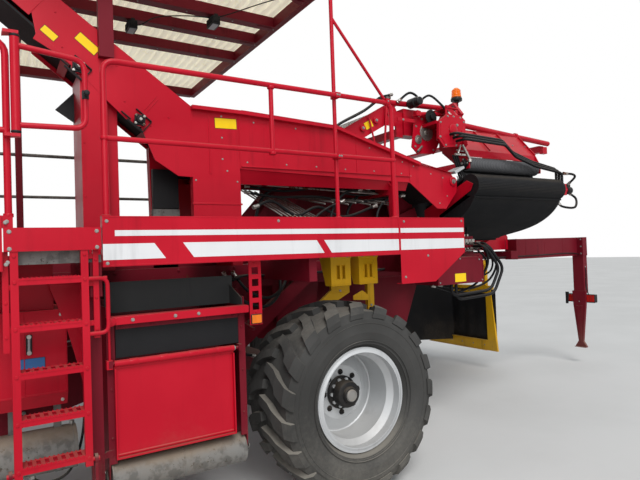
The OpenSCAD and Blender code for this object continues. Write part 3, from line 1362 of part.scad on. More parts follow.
// Plate round the haulm web's rollers, a little longer and deeper than the web
module haulm_plate(y0) {
    v = (haulm_b - haulm_a) / norm(haulm_b - haulm_a);
    n = [-v[1], v[0]];
    side_plate([
        haulm_a - 80 * v - 85 * n, haulm_b + 80 * v - 85 * n, haulm_b + 80 * v + 85 * n,
            haulm_a - 80 * v + 85 * n
    ], y0, y0 + 10);
}

module deflector_hood() color(red) from_hitch() {
    tube_top_z = tube_low_z + tube_s + seat_gap;
    y = tube_left_y + 40;
    // round tube that carries the deflector, clamped to the rear cross tube
    bar([-1830, y, 3008], [tube_rear_x - 30, y, 2904], 60);
    block([tube_rear_x, tube_left_y + seat_gap, tube_low_z - 20],
        [tube_rear_x + tube_s, y + 10, tube_low_z + 60]);
    // sheet over the deflector roller and its end plates
    cross_plate([
        [y - 36, 2925], [y + 40, 2925], [900, 2668], [908, 2600], [896, 2600], [888, 2662],
            [y + 34, 2913], [y - 36, 2913]
    ], hood_plates[1], hood_plates[0] + 10);
    for (plate = [[hood_plates[0], 2995], [hood_plates[1], 2940]])
        cross_plate([
            [y - 44, 2680], [y - 44, plate[1]], [y + 33, plate[1]], [904, 2673], [962, 2560],
                [960, 2470], [850, 2470]
        ], plate[0], plate[0] + 10);
    // gear unit beside the tube, with its cover
    cross_plate([
        [y - 20, 2960], [y + 30, 3150], [760, 3120], [920, 2940], [960, 2700], [820, 2600], [y - 20, 2700]
    ], -1850, -1800);
    side_plate([
        [-1860, 2690], [-1860, 2950], [-1800, 2990], [-1620, 2990], [-1500, 2910], [-1490, 2740],
            [-1560, 2660]
    ], 900, 930);
    block([-1850, y, 2890], [-1490, 901, 2920]);
    cross_plate([[y - 20, 2960], [y - 20, 3190], [y + 50, 3200], [800, 3060], [700, 2960]], -1990, -1950);
    block([-1990, y - 20, 2960], [-1801, y + 20, 3000]);
    // upper tube from the haulm web's plate to the gear unit
    bar([-1170, haulm_left_y - 5, 3134], [-1970, y - 10, 3148], 54);
    // side plates of the haulm web on the front cross tube
    for (plate = [haulm_right_y, haulm_left_y - 10]) {
        haulm_plate(plate);
        block([tube_front_x, plate, tube_top_z], [tube_front_x + tube_s, plate + 10, 3050]);
    }
    // base and stalk of the beacon
    block([-2600, beam_right_y - tube_s / 2, tube_top_z], [-2460, y, tube_top_z + 24]);
    block([-2560, 170, tube_top_z], [-2500, 230, 3180]);
    translate([-2530, 200, 3179]) cylinder(h = beacon_z - 3179, d = 28, $fn = 32);
}
beacon_z = 3415;

// Rear light carrier, curtain, chocks, valves and hoses

module light_carrier() color(dark_red) from_hitch() {
    z1 = carrier_top_z;
    z0 = carrier_top_z - carrier_h;
    // channel beam, open to the right
    block([carrier_rear_x, carrier_y - 4, z0], [frame_rear_x - seat_gap, carrier_y + 4, z1]);
    block([frame_rear_x - 20, carrier_y - 90, z0], [frame_rear_x - seat_gap, carrier_y + 90, z1]);
    for (z = [z0, z1 - 8])
        block([carrier_rear_x, carrier_y - 70, z], [frame_rear_x - 19, carrier_y, z + 8]);
    block([-3700, carrier_y - 70, z0], [-3580, carrier_y, z1]);
    // leg with notched bracket, tapered foot
    block([carrier_rear_x, carrier_y - 90, z0], [carrier_rear_x + 100, carrier_y + 90, z1]);
    block([carrier_rear_x, carrier_y - 80, 980], [carrier_rear_x + 90, carrier_y + 80, z0 + 1]);
    cross_plate([
        [carrier_y - 100, 1010], [carrier_y + 100, 1010], [carrier_y + 90, 800], [carrier_y + 34, 300],
        [carrier_y + 80, 230], [carrier_y + 80, 214], [carrier_y - 80, 214], [carrier_y - 80, 230],
        [carrier_y - 34, 300], [carrier_y - 90, 800]
    ], carrier_rear_x + 66, carrier_rear_x + 100);
}

curtain_x = -3700;
curtain_left = -330;
curtain_right = -1600;

module curtain_frame() color(yellow) from_hitch() {
    // top bar, slanted left edge that widens downwards, and lower bar in front of the rubber
    block([curtain_x - 40, curtain_right, 1090 + seat_gap], [curtain_x + 40, curtain_left - 60, 1140]);
    cross_plate([
        [curtain_left - 140, 1140], [curtain_left - 60, 1140], [curtain_left + 30, 250],
            [curtain_left - 130, 250]
    ], curtain_x + 12 + seat_gap, curtain_x + 40);
    block([curtain_x + 12 + seat_gap, curtain_right, 250], [curtain_x + 40, curtain_left - 129, 390]);
    // arms to the frame
    for (y = [curtain_left - 200, beam_right_y - 30]) {
        block([curtain_x - 20, y, 1139], [curtain_x + 30, y + 60, 1500]);
        block([curtain_x - 20, y, 1440], [frame_rear_x - seat_gap, y + 60, 1500]);
    }
}

module wheel_chocks() color(yellow) from_hitch() {
    // two wedges hung under the platform, their slots outwards
    for (x = [-386, -132])
        difference() {
            cross_plate([
                [1150, floor_z - floor_t - seat_gap], [1320, floor_z - floor_t - seat_gap],
                    [1320, 1440], [1240, 1440]
            ], x, x + 176);
            for (slot = [52, 100])
                block([x + slot, 1140, 1490], [x + slot + 24, 1330, 1590]);
        }
    // guard plates on the left frame beam, above the wheel
    side_plate([
        [-170, 1240], [-330, 1360], [-330, beam_z - seat_gap], [-520, beam_z - seat_gap], [-520, 1330],
            [-250, 1200]
    ], beam_left_y + 20, beam_left_y + 50);
    block([-790, beam_left_y + 10, 1130], [-720, beam_left_y + 50, beam_z - seat_gap]);
}

module valve_block() color(dark_red) from_hitch() {
    block([-1980, 700, beam_top_z + seat_gap], [-1740, 860, 1800]);
    for (i = [0 : 4])
        translate([-1965 + i * 45, 859, 1700]) rotate([-90, 0, 0]) cylinder(h = 60, d = 30, $fn = 24);
    // closed box beside the frame beam
    side_plate([
        [-1900, box_low_z], [-1900, 1560], [-1850, 1600], [-1290, 1600], [-1290, box_low_z]
    ], beam_left_out + seat_gap, 1050);
}
box_low_z = 1350;

module hoses() color(black) from_hitch() {
    // from the gears' cover over the deflector to the cross belt's motor
    for (i = [0 : 2])
        tube(rounded([
            [-1640 - i * 40, 930 + seat_gap, 2790 - i * 30], [-1640 - i * 40, 1010 + i * 20, 2790 - i * 30],
            [-2300, 1010 + i * 20, 2770 - i * 28], [-2450, 1010 + i * 20, 2660 - i * 28],
            [-2760, 1020 + i * 20, 2575 - i * 28], [end_plates[1] - 36, 1096 + i * 34, 2500 - i * 26],
            [end_plates[1] - 36, 1096 + i * 34, finger_out_z + 60 + seat_gap]
        ], 34, 4), 28, [0.13, 0.31, 0.94], 8);
    // loops from the valves to the box below them
    for (i = [0 : 1])
        tube(rounded([
            [-1920 - i * 45, 919 + seat_gap, 1700], [-1920 - i * 45, 1060, 1700],
                [-2080 - i * 60, 1090, 1480],
            [-1960 - i * 40, 1080, 1270 - i * 40], [-1560 - i * 60, 950, 1230 - i * 40],
            [-1560 - i * 60, 950, box_low_z - seat_gap]
        ], 70, 5), 30, [0.31, 0.93, 0.17], 8);
}

chassis_frame();
axle_beam();
tyre_left();
rim_left();
tyre_right();
rim_right();
drawbar();
hitch_eye();
jack_leg();
steer_barrel();
steer_rod();
side_panel();
platform_left();
railing_left();
gate();
ladder();
folding_step();
platform_right();
picking_table();
elevator();
sorting_belts();
canopy_frame();
canopy_sheets();
lamps();
beacon();
bunker();
bunker_belt();
boom();
boom_belt();
boom_barrel();
boom_rod();
trash_hopper();
trash_door();
trash_roller();
rubber_flaps();
oil_tank();
air_tank();
web_frame();
main_web();
digging_frame();
digging_web();
shares();
disc_coulters();
diabolo_rollers();
lift_barrel();
lift_rod();
separator_frame();
finger_belts();
deflector_hood();
light_carrier();
curtain_frame();
wheel_chocks();
valve_block();
hoses();
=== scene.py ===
import json
import math

import bmesh
import bpy
from mathutils import Matrix, Vector


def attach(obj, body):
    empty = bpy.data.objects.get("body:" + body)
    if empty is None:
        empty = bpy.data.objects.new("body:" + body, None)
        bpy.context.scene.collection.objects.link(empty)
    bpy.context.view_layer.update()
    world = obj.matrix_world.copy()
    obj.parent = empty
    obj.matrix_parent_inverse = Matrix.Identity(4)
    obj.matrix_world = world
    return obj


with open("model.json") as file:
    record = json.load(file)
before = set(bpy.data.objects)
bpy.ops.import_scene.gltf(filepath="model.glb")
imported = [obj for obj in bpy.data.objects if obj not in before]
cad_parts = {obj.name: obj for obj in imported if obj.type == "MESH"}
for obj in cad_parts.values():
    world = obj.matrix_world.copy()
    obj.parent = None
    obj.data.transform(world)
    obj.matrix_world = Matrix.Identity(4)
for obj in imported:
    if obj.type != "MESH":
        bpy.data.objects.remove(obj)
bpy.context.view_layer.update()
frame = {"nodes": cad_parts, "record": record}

# ---------------------------------------------------------------- places and small sums

HITCH_X, HITCH_Z = 6400, 480
LEFT, UP, FRONT = Vector((0, 1, 0)), Vector((0, 0, 1)), Vector((1, 0, 0))
SIDE = 1600  # outer face of the left side panel
RAIL = 1570  # line of the left railing's tubes
WALL = 1000  # outer face of the left walls of the picking table and the elevator
BEAM_OUT = 745  # outer face of the frame's left beam
FLOOR = 1725  # top of the platform's floor
SLOPE = math.radians(39)  # of the bunker elevator


def at(x, y, z):
    """A place in millimetres, forward of the axle, to the left and above the ground, as a place in the scene."""
    return Vector(((x - HITCH_X) / 1000, y / 1000, (z - HITCH_Z) / 1000))


def turn_from(direction):
    """The turn that brings up onto direction."""
    return UP.rotation_difference(direction.normalized()).to_matrix().to_4x4()


def smooth_path(points, steps=8):
    """A soft line through all the points."""
    points = [Vector(p) for p in points]
    ends = [2 * points[0] - points[1]] + points + [2 * points[-1] - points[-2]]
    out = []
    for a, b, c, d in zip(ends, ends[1:], ends[2:], ends[3:]):
        for k in range(steps):
            t = k / steps
            out.append(
                0.5 * (2 * b + (c - a) * t + (2 * a - 5 * b + 4 * c - d) * t**2 + (3 * b - a - 3 * c + d) * t**3)
            )
    return out + [points[-1]]


# ---------------------------------------------------------------- finishes


class Net:
    """Short words for the nodes of one material or group."""

    def __init__(self, tree):
        self.tree = tree

    def add(self, kind, inputs=None, **settings):
        """A node with its settings, its inputs joined to sockets or set to values."""
        node = self.tree.nodes.new(kind)
        for key, value in settings.items():
            setattr(node, key, value)
        for key, value in (inputs or {}).items():
            if isinstance(value, bpy.types.NodeSocket):
                self.tree.links.new(value, node.inputs[key])
            else:
                node.inputs[key].default_value = value
        return node

    def sum(self, operation, a, b=0.0):
        return self.add("ShaderNodeMath", {0: a, 1: b}, operation=operation).outputs[0]

    def spread(self, value, low, high, start=0.0, end=1.0):
        """value between low and high, brought between start and end."""
        inputs = {"Value": value, "From Min": low, "From Max": high, "To Min": start, "To Max": end}
        return self.add("ShaderNodeMapRange", inputs, interpolation_type="SMOOTHSTEP").outputs["Result"]

    def mix(self, share, a, b):
        """The colour a, with b over it by share."""
        node = self.add("ShaderNodeMix", data_type="RGBA")
        for socket, value in ((node.inputs[0], share), (node.inputs[6], a), (node.inputs[7], b)):
            if isinstance(value, bpy.types.NodeSocket):
                self.tree.links.new(value, socket)
            elif hasattr(value, "__len__"):
                socket.default_value = (*value[:3], 1)
            else:
                socket.default_value = value
        return node.outputs[2]

    def noise(self, scale, detail=3.0, rough=0.55, stretch=(1, 1, 1), warp=0.0):
        """Cloudy values over the piece, with scale in cycles a metre."""
        place = self.add("ShaderNodeTexCoord").outputs["Object"]
        if stretch != (1, 1, 1):
            place = self.add("ShaderNodeMapping", {"Vector": place, "Scale": stretch}).outputs["Vector"]
        inputs = {"Vector": place, "Scale": scale, "Detail": detail, "Roughness": rough, "Distortion": warp}
        return self.add("ShaderNodeTexNoise", inputs).outputs["Fac"]


def shader_group(name, inputs, outputs, fill):
    """A node group with named inputs and outputs, filled by fill."""
    tree = bpy.data.node_groups.new(name, "ShaderNodeTree")
    for word, value in inputs.items():
        tree.interface.new_socket(word, in_out="INPUT", socket_type="NodeSocketFloat").default_value = value
    for word in outputs:
        tree.interface.new_socket(word, in_out="OUTPUT", socket_type="NodeSocketFloat")
    net = Net(tree)
    start, end = net.add("NodeGroupInput"), net.add("NodeGroupOutput")
    for word, socket in fill(net, start.outputs).items():
        tree.links.new(socket, end.inputs[word])
    return tree


def field_dust(net, given):
    """Dry soil that lies on what faces up, gathers low down, and breaks up in patches."""
    parts = net.add("ShaderNodeTexCoord")
    facing = net.add("ShaderNodeSeparateXYZ", {0: parts.outputs["Normal"]}).outputs[2]
    height = net.add("ShaderNodeSeparateXYZ", {0: parts.outputs["Object"]}).outputs[2]
    ledge = net.sum("MULTIPLY", net.spread(facing, 0.25, 0.95), 0.75)
    low = net.spread(height, 0.75, -0.45, 0.0, 0.55)
    patch = net.noise(3.1, 6.0, 0.62)
    grit = net.noise(46.0, 4.0, 0.7)
    body = net.sum("ADD", net.sum("MULTIPLY", patch, 0.9), net.sum("MULTIPLY", grit, 0.45))
    place = net.sum("ADD", net.sum("ADD", ledge, low), net.sum("SUBTRACT", body, 0.82))
    return {"Mask": net.sum("MULTIPLY", net.spread(place, 0.0, 1.1), given["Amount"])}


def rain_streaks(net, given):
    """Runs of dirt down upright faces."""
    runs = net.noise(7.0, 5.0, 0.6, stretch=(2.4, 2.4, 0.16), warp=0.4)
    breaks = net.noise(2.3, 3.0)
    both = net.sum("MULTIPLY", net.spread(runs, 0.5, 0.75), net.spread(breaks, 0.35, 0.7))
    return {"Mask": net.sum("MULTIPLY", both, given["Amount"])}


def chipped(net, given):
    """Small chips and scuffs where the coat is gone."""
    spots = net.noise(38.0, 5.0, 0.72)
    scuffs = net.noise(9.0, 6.0, 0.75, stretch=(0.5, 0.5, 1.6))
    where = net.noise(1.7, 2.0)
    total = net.sum("ADD", net.sum("MULTIPLY", spots, 0.6), net.sum("MULTIPLY", scuffs, 0.4))
    edge = net.sum("SUBTRACT", 0.74, net.sum("MULTIPLY", net.sum("MULTIPLY", where, given["Amount"]), 0.34))
    return {"Mask": net.sum("GREATER_THAN", total, edge)}


def fine_relief(net, given):
    """Orange peel and shallow dents in sheet and castings."""
    peel = net.sum("MULTIPLY", net.noise(240.0, 2.0), given["Peel"])
    dents = net.sum("MULTIPLY", net.noise(2.6, 3.0), given["Dents"])
    return {"Height": net.sum("ADD", peel, dents)}


DUST = shader_group("field_dust", {"Amount": 1.0}, ["Mask"], field_dust)
STREAKS = shader_group("rain_streaks", {"Amount": 1.0}, ["Mask"], rain_streaks)
CHIPS = shader_group("chipped_coat", {"Amount": 1.0}, ["Mask"], chipped)
RELIEF = shader_group("fine_relief", {"Peel": 0.1, "Dents": 1.0}, ["Height"], fine_relief)

SOIL = (0.235, 0.185, 0.135)
RUST = (0.115, 0.042, 0.018)
FINISHES = {}


def new_material(name):
    """An empty material, kept under its name, with its net and its Principled shader."""
    material = bpy.data.materials.new(name)
    FINISHES[name] = material
    material.use_nodes = True
    material.node_tree.nodes.clear()
    net = Net(material.node_tree)
    shader = net.add("ShaderNodeBsdfPrincipled")
    net.tree.links.new(shader.outputs[0], net.add("ShaderNodeOutputMaterial").inputs[0])
    return net, shader


def use(net, tree, **values):
    """A group placed in a material with its own values."""
    node = net.add("ShaderNodeGroup", node_tree=tree)
    for word, value in values.items():
        node.inputs[word].default_value = value
    return node.outputs[0]


def finish(name, colour, rough=0.4, metal=0.0, coat=0.0, dust=0.6, streaks=0.5, chips=0.4, under=RUST,
           peel=0.15, dents=1.0, bump=0.25, faded=0.07, soil=SOIL, mottle=0.0):
    """A coat or bare surface with its fading, runs, chips, mottling and soil."""
    net, shader = new_material(name)
    pale = tuple(min(1, c * (1 + 2 * faded) + faded * 0.05) for c in colour)
    coat_colour = net.mix(net.spread(net.noise(1.3, 4.0), 0.35, 0.7), colour, pale)
    dark = tuple(c * 0.42 for c in colour)
    run = use(net, STREAKS, Amount=streaks)
    body = net.mix(run, coat_colour, dark)
    if mottle:
        spots = net.sum("MULTIPLY", net.spread(net.noise(16.0, 6.0), 0.46, 0.6), mottle)
        body = net.mix(spots, body, dark)
    chip = use(net, CHIPS, Amount=chips)
    body = net.mix(chip, body, under)
    veil = use(net, DUST, Amount=dust)
    body = net.mix(veil, body, soil)
    net.tree.links.new(body, shader.inputs["Base Color"])
    wear = net.sum("MAXIMUM", veil, net.sum("MULTIPLY", chip, 0.8))
    sound = net.sum("SUBTRACT", 1.0, wear)
    roughness = net.sum("ADD", net.sum("MULTIPLY", wear, 0.85 - rough), rough)
    varied = net.sum("ADD", roughness, net.sum("MULTIPLY", net.sum("SUBTRACT", net.noise(5.0, 5.0), 0.5), 0.22))
    net.tree.links.new(varied, shader.inputs["Roughness"])
    if metal:
        net.tree.links.new(net.sum("MULTIPLY", sound, metal), shader.inputs["Metallic"])
    if coat:
        net.tree.links.new(net.sum("MULTIPLY", sound, coat), shader.inputs["Coat Weight"])
        shader.inputs["Coat Roughness"].default_value = 0.12
    shader.inputs["Specular IOR Level"].default_value = 0.15
    crust = net.sum("MULTIPLY", net.noise(90.0, 4.0), net.sum("MULTIPLY", veil, 0.5))
    height = net.sum("ADD", use(net, RELIEF, Peel=peel, Dents=dents), crust)
    bumped = net.add("ShaderNodeBump", {"Strength": bump, "Distance": 0.004, "Height": height})
    net.tree.links.new(bumped.outputs[0], shader.inputs["Normal"])


RED_UNDER = (0.5, 0.01, 0.03)  # the panel's paint, where film is scuffed through

finish("red_paint", (0.43, 0.003, 0.016), 0.36, coat=0.05, dust=0.36, streaks=0.45, chips=0.28)
# a darker copy of red_paint for the frame, beams and under-body: partly their own darker paint, partly painted shade
# where they lie in shadow
finish("dark_red_paint", (0.14, 0.004, 0.012), 0.5, dust=0.7, streaks=0.7, chips=0.5)
finish("yellow_paint", (0.66, 0.36, 0.008), 0.44, coat=0.05, dust=0.6, streaks=0.9, chips=0.6)
finish("black_paint", (0.012, 0.012, 0.013), 0.42, dust=0.28, chips=0.08)
finish("silver_paint", (0.50, 0.51, 0.515), 0.38, metal=0.3, dust=0.3, streaks=0.3, chips=0.1)
finish("grey_paint", (0.17, 0.165, 0.155), 0.6, dust=0.9, streaks=1.0, chips=0.85, under=(0.06, 0.05, 0.042),
        mottle=0.62)
finish("bare_steel", (0.40, 0.385, 0.36), 0.34, metal=0.85, dust=0.75, chips=1.0, streaks=0.5)
finish("dull_zinc", (0.27, 0.26, 0.245), 0.46, metal=0.55, dust=0.6, chips=0.7, streaks=0.3)
finish("tread_rubber", (0.040, 0.039, 0.037), 0.85, dust=1.0, streaks=0.0, chips=0.0, peel=0.6, bump=0.5, faded=0.2,
        soil=(0.19, 0.175, 0.15))
finish("belt_rubber", (0.010, 0.010, 0.011), 0.66, dust=0.4, streaks=0.2, chips=0.0, peel=0.7, bump=0.4, faded=0.05)
finish("hose_rubber", (0.009, 0.009, 0.010), 0.45, dust=0.4, streaks=0.0, chips=0.0, peel=0.4)
finish("bristle_grey", (0.11, 0.11, 0.115), 0.7, dust=0.5, streaks=0.0, chips=0.0, peel=0.8, bump=0.5)
finish("worn_rubber", (0.05, 0.052, 0.052), 0.7, dust=0.6, streaks=0.5, chips=0.0, peel=0.5)
finish("lamp_black", (0.014, 0.014, 0.015), 0.4, dust=0.45, streaks=0.0, chips=0.1)
finish("white_stripe", (0.66, 0.66, 0.665), 0.36, coat=0.1, dust=0.3, streaks=0.35, chips=0.2, under=RED_UNDER,
        faded=0.04)
finish("blank_decal", (0.84, 0.55, 0.01), 0.36, coat=0.1, dust=0.3, streaks=0.3, chips=0.15, under=RED_UNDER)
finish("blue_decal", (0.035, 0.12, 0.30), 0.36, coat=0.1, dust=0.3, streaks=0.3, chips=0.15, under=RED_UNDER)


def clear_sheet(name, colour, rough, through, dirt, painted_glow=0.0):
    """Plastic that light comes through: roof sheets and lenses. Their glow is painted light: an emission that makes
    them look lit by the day.
    """
    net, shader = new_material(name)
    veil = use(net, DUST, Amount=dirt)
    run = use(net, STREAKS, Amount=0.7)
    stained = net.mix(run, colour, tuple(c * 0.62 for c in colour))
    body = net.mix(veil, stained, (0.30, 0.27, 0.2))
    net.tree.links.new(body, shader.inputs["Base Color"])
    # painted light: the sheets and lenses give off light in their own colour, standing in for the daylight they catch
    if painted_glow:
        net.tree.links.new(body, shader.inputs["Emission Color"])
        shader.inputs["Emission Strength"].default_value = painted_glow
    shader.inputs["Roughness"].default_value = rough
    shader.inputs["Transmission Weight"].default_value = through
    shader.inputs["IOR"].default_value = 1.45


# the last number is painted light: a glow on the roof sheets and lenses, none of which is a lit lamp
clear_sheet("cream_sheet", (0.84, 0.81, 0.70), 0.55, 0.3, 0.3, 0.3)
clear_sheet("lamp_glass", (0.75, 0.78, 0.80), 0.12, 0.6, 0.2)
clear_sheet("amber_lens", (0.95, 0.22, 0.01), 0.15, 0.3, 0.2, 0.12)
clear_sheet("red_lens", (0.62, 0.02, 0.015), 0.15, 0.3, 0.2, 0.05)

# ---------------------------------------------------------------- shaping


def soften(piece, width, angle):
    """Rounds the edges sharper than angle, in degrees, over width in millimetres."""
    edge = piece.modifiers.new("edge", "BEVEL")
    edge.width = width / 1000
    edge.segments = 2
    edge.limit_method = "ANGLE"
    edge.angle_limit = math.radians(angle)
    edge.use_clamp_overlap = True


class Work:
    """Gathers plates, bars and turned pieces, all in millimetres, into one piece of the machine."""

    def __init__(self):
        self.mesh = bmesh.new()

    def block(self, low, high):
        """A block between two corners."""
        low, high = at(*low), at(*high)
        made = bmesh.ops.create_cube(self.mesh, size=1)["verts"]
        bmesh.ops.scale(self.mesh, vec=high - low, verts=made)
        bmesh.ops.translate(self.mesh, vec=(low + high) / 2, verts=made)

    def plate(self, outline, direction, start, end):
        """An outline of (a, b) pairs, pushed along x, y or z from start to end."""
        spots = {"x": lambda a, b, c: at(c, a, b), "y": lambda a, b, c: at(a, c, b), "z": lambda a, b, c: at(a, b, c)}
        spot = spots[direction]
        near = [self.mesh.verts.new(spot(a, b, start)) for a, b in outline]
        far = [self.mesh.verts.new(spot(a, b, end)) for a, b in outline]
        self.mesh.faces.new(near)
        self.mesh.faces.new(list(reversed(far)))
        for i in range(len(near)):
            j = (i + 1) % len(near)
            self.mesh.faces.new((near[j], near[i], far[i], far[j]))

    def rod(self, a, b, thick, sides=16):
        """A round bar from a to b."""
        a, b = at(*a), at(*b)
        bmesh.ops.create_cone(
            self.mesh, cap_ends=True, segments=sides, radius1=thick / 2000, radius2=thick / 2000, depth=(b - a).length,
            matrix=Matrix.Translation((a + b) / 2) @ turn_from(b - a),
        )

    def turned(self, profile, centre, direction, sides=32, closed=False):
        """A profile of (radius, height) pairs turned round direction, heights measured from centre."""
        move = Matrix.Translation(at(*centre)) @ turn_from(direction)
        rings = []
        for radius, height in profile:
            rings.append([
                self.mesh.verts.new(move @ Vector((
                    radius / 1000 * math.cos(2 * math.pi * k / sides),
                    radius / 1000 * math.sin(2 * math.pi * k / sides),
                    height / 1000,
                )))
                for k in range(sides if radius > 0 else 1)
            ])
        for low, high in zip(rings, rings[1:] + (rings[:1] if closed else [])):
            for k in range(sides):
                j = (k + 1) % sides
                if len(low) == 1:
                    self.mesh.faces.new((low[0], high[j], high[k]))
                elif len(high) == 1:
                    self.mesh.faces.new((low[k], low[j], high[0]))
                else:
                    self.mesh.faces.new((low[k], low[j], high[j], high[k]))
        for ring, flip in () if closed else ((rings[0], True), (rings[-1], False)):
            if len(ring) > 2:
                self.mesh.faces.new(list(reversed(ring)) if flip else ring)

    def tube(self, path, thick, sides=12):
        """A round tube along a path."""
        points = [at(*p) for p in path]
        radius = thick / 2000
        heading = (points[1] - points[0]).normalized()
        side = heading.orthogonal().normalized()
        rings = []
        for i, point in enumerate(points):
            ahead = points[min(i + 1, len(points) - 1)] - points[max(i - 1, 0)]
            if ahead.length > 0:
                side = heading.rotation_difference(ahead.normalized()) @ side
                heading = ahead.normalized()
            other = heading.cross(side)
            turns = [2 * math.pi * k / sides for k in range(sides)]
            ring = [point + radius * (math.cos(turn) * side + math.sin(turn) * other) for turn in turns]
            rings.append([self.mesh.verts.new(spot) for spot in ring])
        for low, high in zip(rings, rings[1:]):
            for k in range(sides):
                j = (k + 1) % sides
                self.mesh.faces.new((low[k], low[j], high[j], high[k]))
        self.mesh.faces.new(list(reversed(rings[0])))
        self.mesh.faces.new(rings[-1])

    def bolt(self, place, direction, size=16):
        """A hexagon head on its washer."""
        direction, size = direction.normalized(), size * 0.78
        base = at(*place)
        for sides, wide, tall, lift in ((20, 1.15, 0.14, 0.0), (6, 0.95, 0.5, 0.14)):
            bmesh.ops.create_cone(
                self.mesh, cap_ends=True, segments=sides, radius1=wide * size / 1000, radius2=wide * size / 1060,
                depth=tall * size / 1000,
                matrix=Matrix.Translation(base + direction * (lift + tall / 2) * size / 1000) @ turn_from(direction),
            )

    def bolts(self, spots, y, size, direction=LEFT):
        """Bolts at (x, z) spots on a wall that faces left, or right where direction says so."""
        for x, z in spots:
            self.bolt((x, y, z), direction, size)

    def done(self, name, material, body="root", bevel=1.5, slot=None, angle=35):
        """The gathered shapes as one object that rides on body, its edges rounded over bevel."""
        bmesh.ops.recalc_face_normals(self.mesh, faces=self.mesh.faces)
        data = bpy.data.meshes.new(name)
        self.mesh.to_mesh(data)
        self.mesh.free()
        data.shade_smooth()
        data.set_sharp_from_angle(angle=math.radians(angle))
        piece = bpy.data.objects.new(name, data)
        bpy.context.scene.collection.objects.link(piece)
        data.materials.append(FINISHES[material])
        if bevel:
            soften(piece, bevel, 40)
        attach(piece, body)
        return piece


# ---------------------------------------------------------------- camera, floor and light

camera_data = bpy.data.cameras.new("camera")
PICTURE_WIDTH, FOCAL_PIXELS, SENSOR = 640, 530, 36
camera_data.sensor_width = SENSOR
camera_data.lens = FOCAL_PIXELS / PICTURE_WIDTH * SENSOR
camera_data.clip_end = 200
camera = bpy.data.objects.new("camera", camera_data)
bpy.context.scene.collection.objects.link(camera)
ahead = Vector((-0.5287, -0.8486, 0.0211)).normalized()
level = ahead.cross(UP).normalized()
above = level.cross(ahead)
dip = math.radians(-2.01)
right = math.cos(dip) * level + math.sin(dip) * above
top = math.cos(dip) * above - math.sin(dip) * level
camera.matrix_world = Matrix.Translation(at(2170, 4594, 1702)) @ Matrix((right, top, -ahead)).transposed().to_4x4()
bpy.context.scene.camera = camera
bpy.context.scene.view_settings.view_transform = "Standard"

floor_mesh = bpy.data.meshes.new("floor")
REACH, GROUND = 60, -HITCH_Z / 1000
corners = [(a * REACH, b * REACH, GROUND) for a, b in ((-1, -1), (1, -1), (1, 1), (-1, 1))]
floor_mesh.from_pydata(corners, [], [(0, 1, 2, 3)])
floor = bpy.data.objects.new("floor", floor_mesh)
bpy.context.scene.collection.objects.link(floor)
net, shader = new_material("pale_floor")
shade = net.mix(net.spread(net.noise(0.8, 4.0), 0.3, 0.7), (0.58, 0.575, 0.56), (0.62, 0.615, 0.60))
net.tree.links.new(shade, shader.inputs["Base Color"])
shader.inputs["Roughness"].default_value = 0.85
floor_mesh.materials.append(FINISHES["pale_floor"])

world = bpy.data.worlds.new("world")
bpy.context.scene.world = world
world.use_nodes = True
net = Net(world.node_tree)
world.node_tree.nodes.clear()
path = net.add("ShaderNodeLightPath").outputs
seen = net.sum("MAXIMUM", net.sum("MAXIMUM", path["Is Camera Ray"], path["Is Glossy Ray"]), path["Is Transmission Ray"])
sky = net.add("ShaderNodeBackground", {"Color": (0.86, 0.93, 1.0, 1), "Strength": 0.42})
backdrop = net.add("ShaderNodeBackground", {"Color": (1, 1, 1, 1), "Strength": 1.0})
mixed = net.add("ShaderNodeMixShader", {0: seen, 1: sky.outputs[0], 2: backdrop.outputs[0]})
net.tree.links.new(mixed.outputs[0], net.add("ShaderNodeOutputWorld").inputs[0])


def lamp(name, kind, place, aim, power, size):
    """A light aimed from place, its size in degrees for the sun and in metres for the others."""
    data = bpy.data.lights.new(name, kind)
    data.energy = power
    if kind == "SUN":
        data.angle = math.radians(size)
    else:
        data.size = size
    light = bpy.data.objects.new(name, data)
    light.matrix_world = Matrix.Translation(place) @ turn_from(place - aim)
    bpy.context.scene.collection.objects.link(light)
    return light


lamp("high_light", "SUN", Vector((-4, 9, 12)), Vector((-6, 0, 0)), 2.0, 28)
lamp("left_light", "AREA", Vector((-2.5, 10.5, 5.5)), Vector((-6, 0, 0.8)), 420, 6)

# ---------------------------------------------------------------- finishes of the frame's own nodes

SOFT_EDGES = {
    "side_panel", "ladder", "picking_table", "elevator", "trash_hopper", "trash_door", "light_carrier", "wheel_chocks",
    "oil_tank", "valve_block", "chassis_frame", "bunker", "boom", "curtain_frame", "canopy_frame", "separator_frame",
    "folding_step", "web_frame", "digging_frame",
}

for row in frame["record"]["subparts"]:
    node = frame["nodes"][row["node"]]
    node.data.materials.clear()
    node.data.materials.append(FINISHES[row["material_slot"]])
    if row["node"] in SOFT_EDGES:
        soften(node, 2.2, 50)

# ---------------------------------------------------------------- small fittings used in many places


def on_elevator(along, up):
    """The point along the elevator's slope and up square to it, as (x, z)."""
    return (
        960 + along * math.cos(SLOPE) - up * math.sin(SLOPE),
        2450 + along * math.sin(SLOPE) + up * math.cos(SLOPE),
    )


def bolt_row(work, start, end, count, direction, size=14):
    """Bolts spread evenly from start to end."""
    start, end = Vector(start), Vector(end)
    for k in range(count):
        work.bolt(start.lerp(end, k / max(1, count - 1)), direction, size)


def bolt_ring(work, centre, direction, radius, count, size=14, turned=0.0):
    """Bolts round centre, in the plane square to direction."""
    side = direction.orthogonal().normalized()
    other = direction.cross(side)
    for k in range(count):
        angle = 2 * math.pi * k / count + turned
        place = Vector(centre) + radius * (math.cos(angle) * side + math.sin(angle) * other)
        work.bolt(place, direction, size)


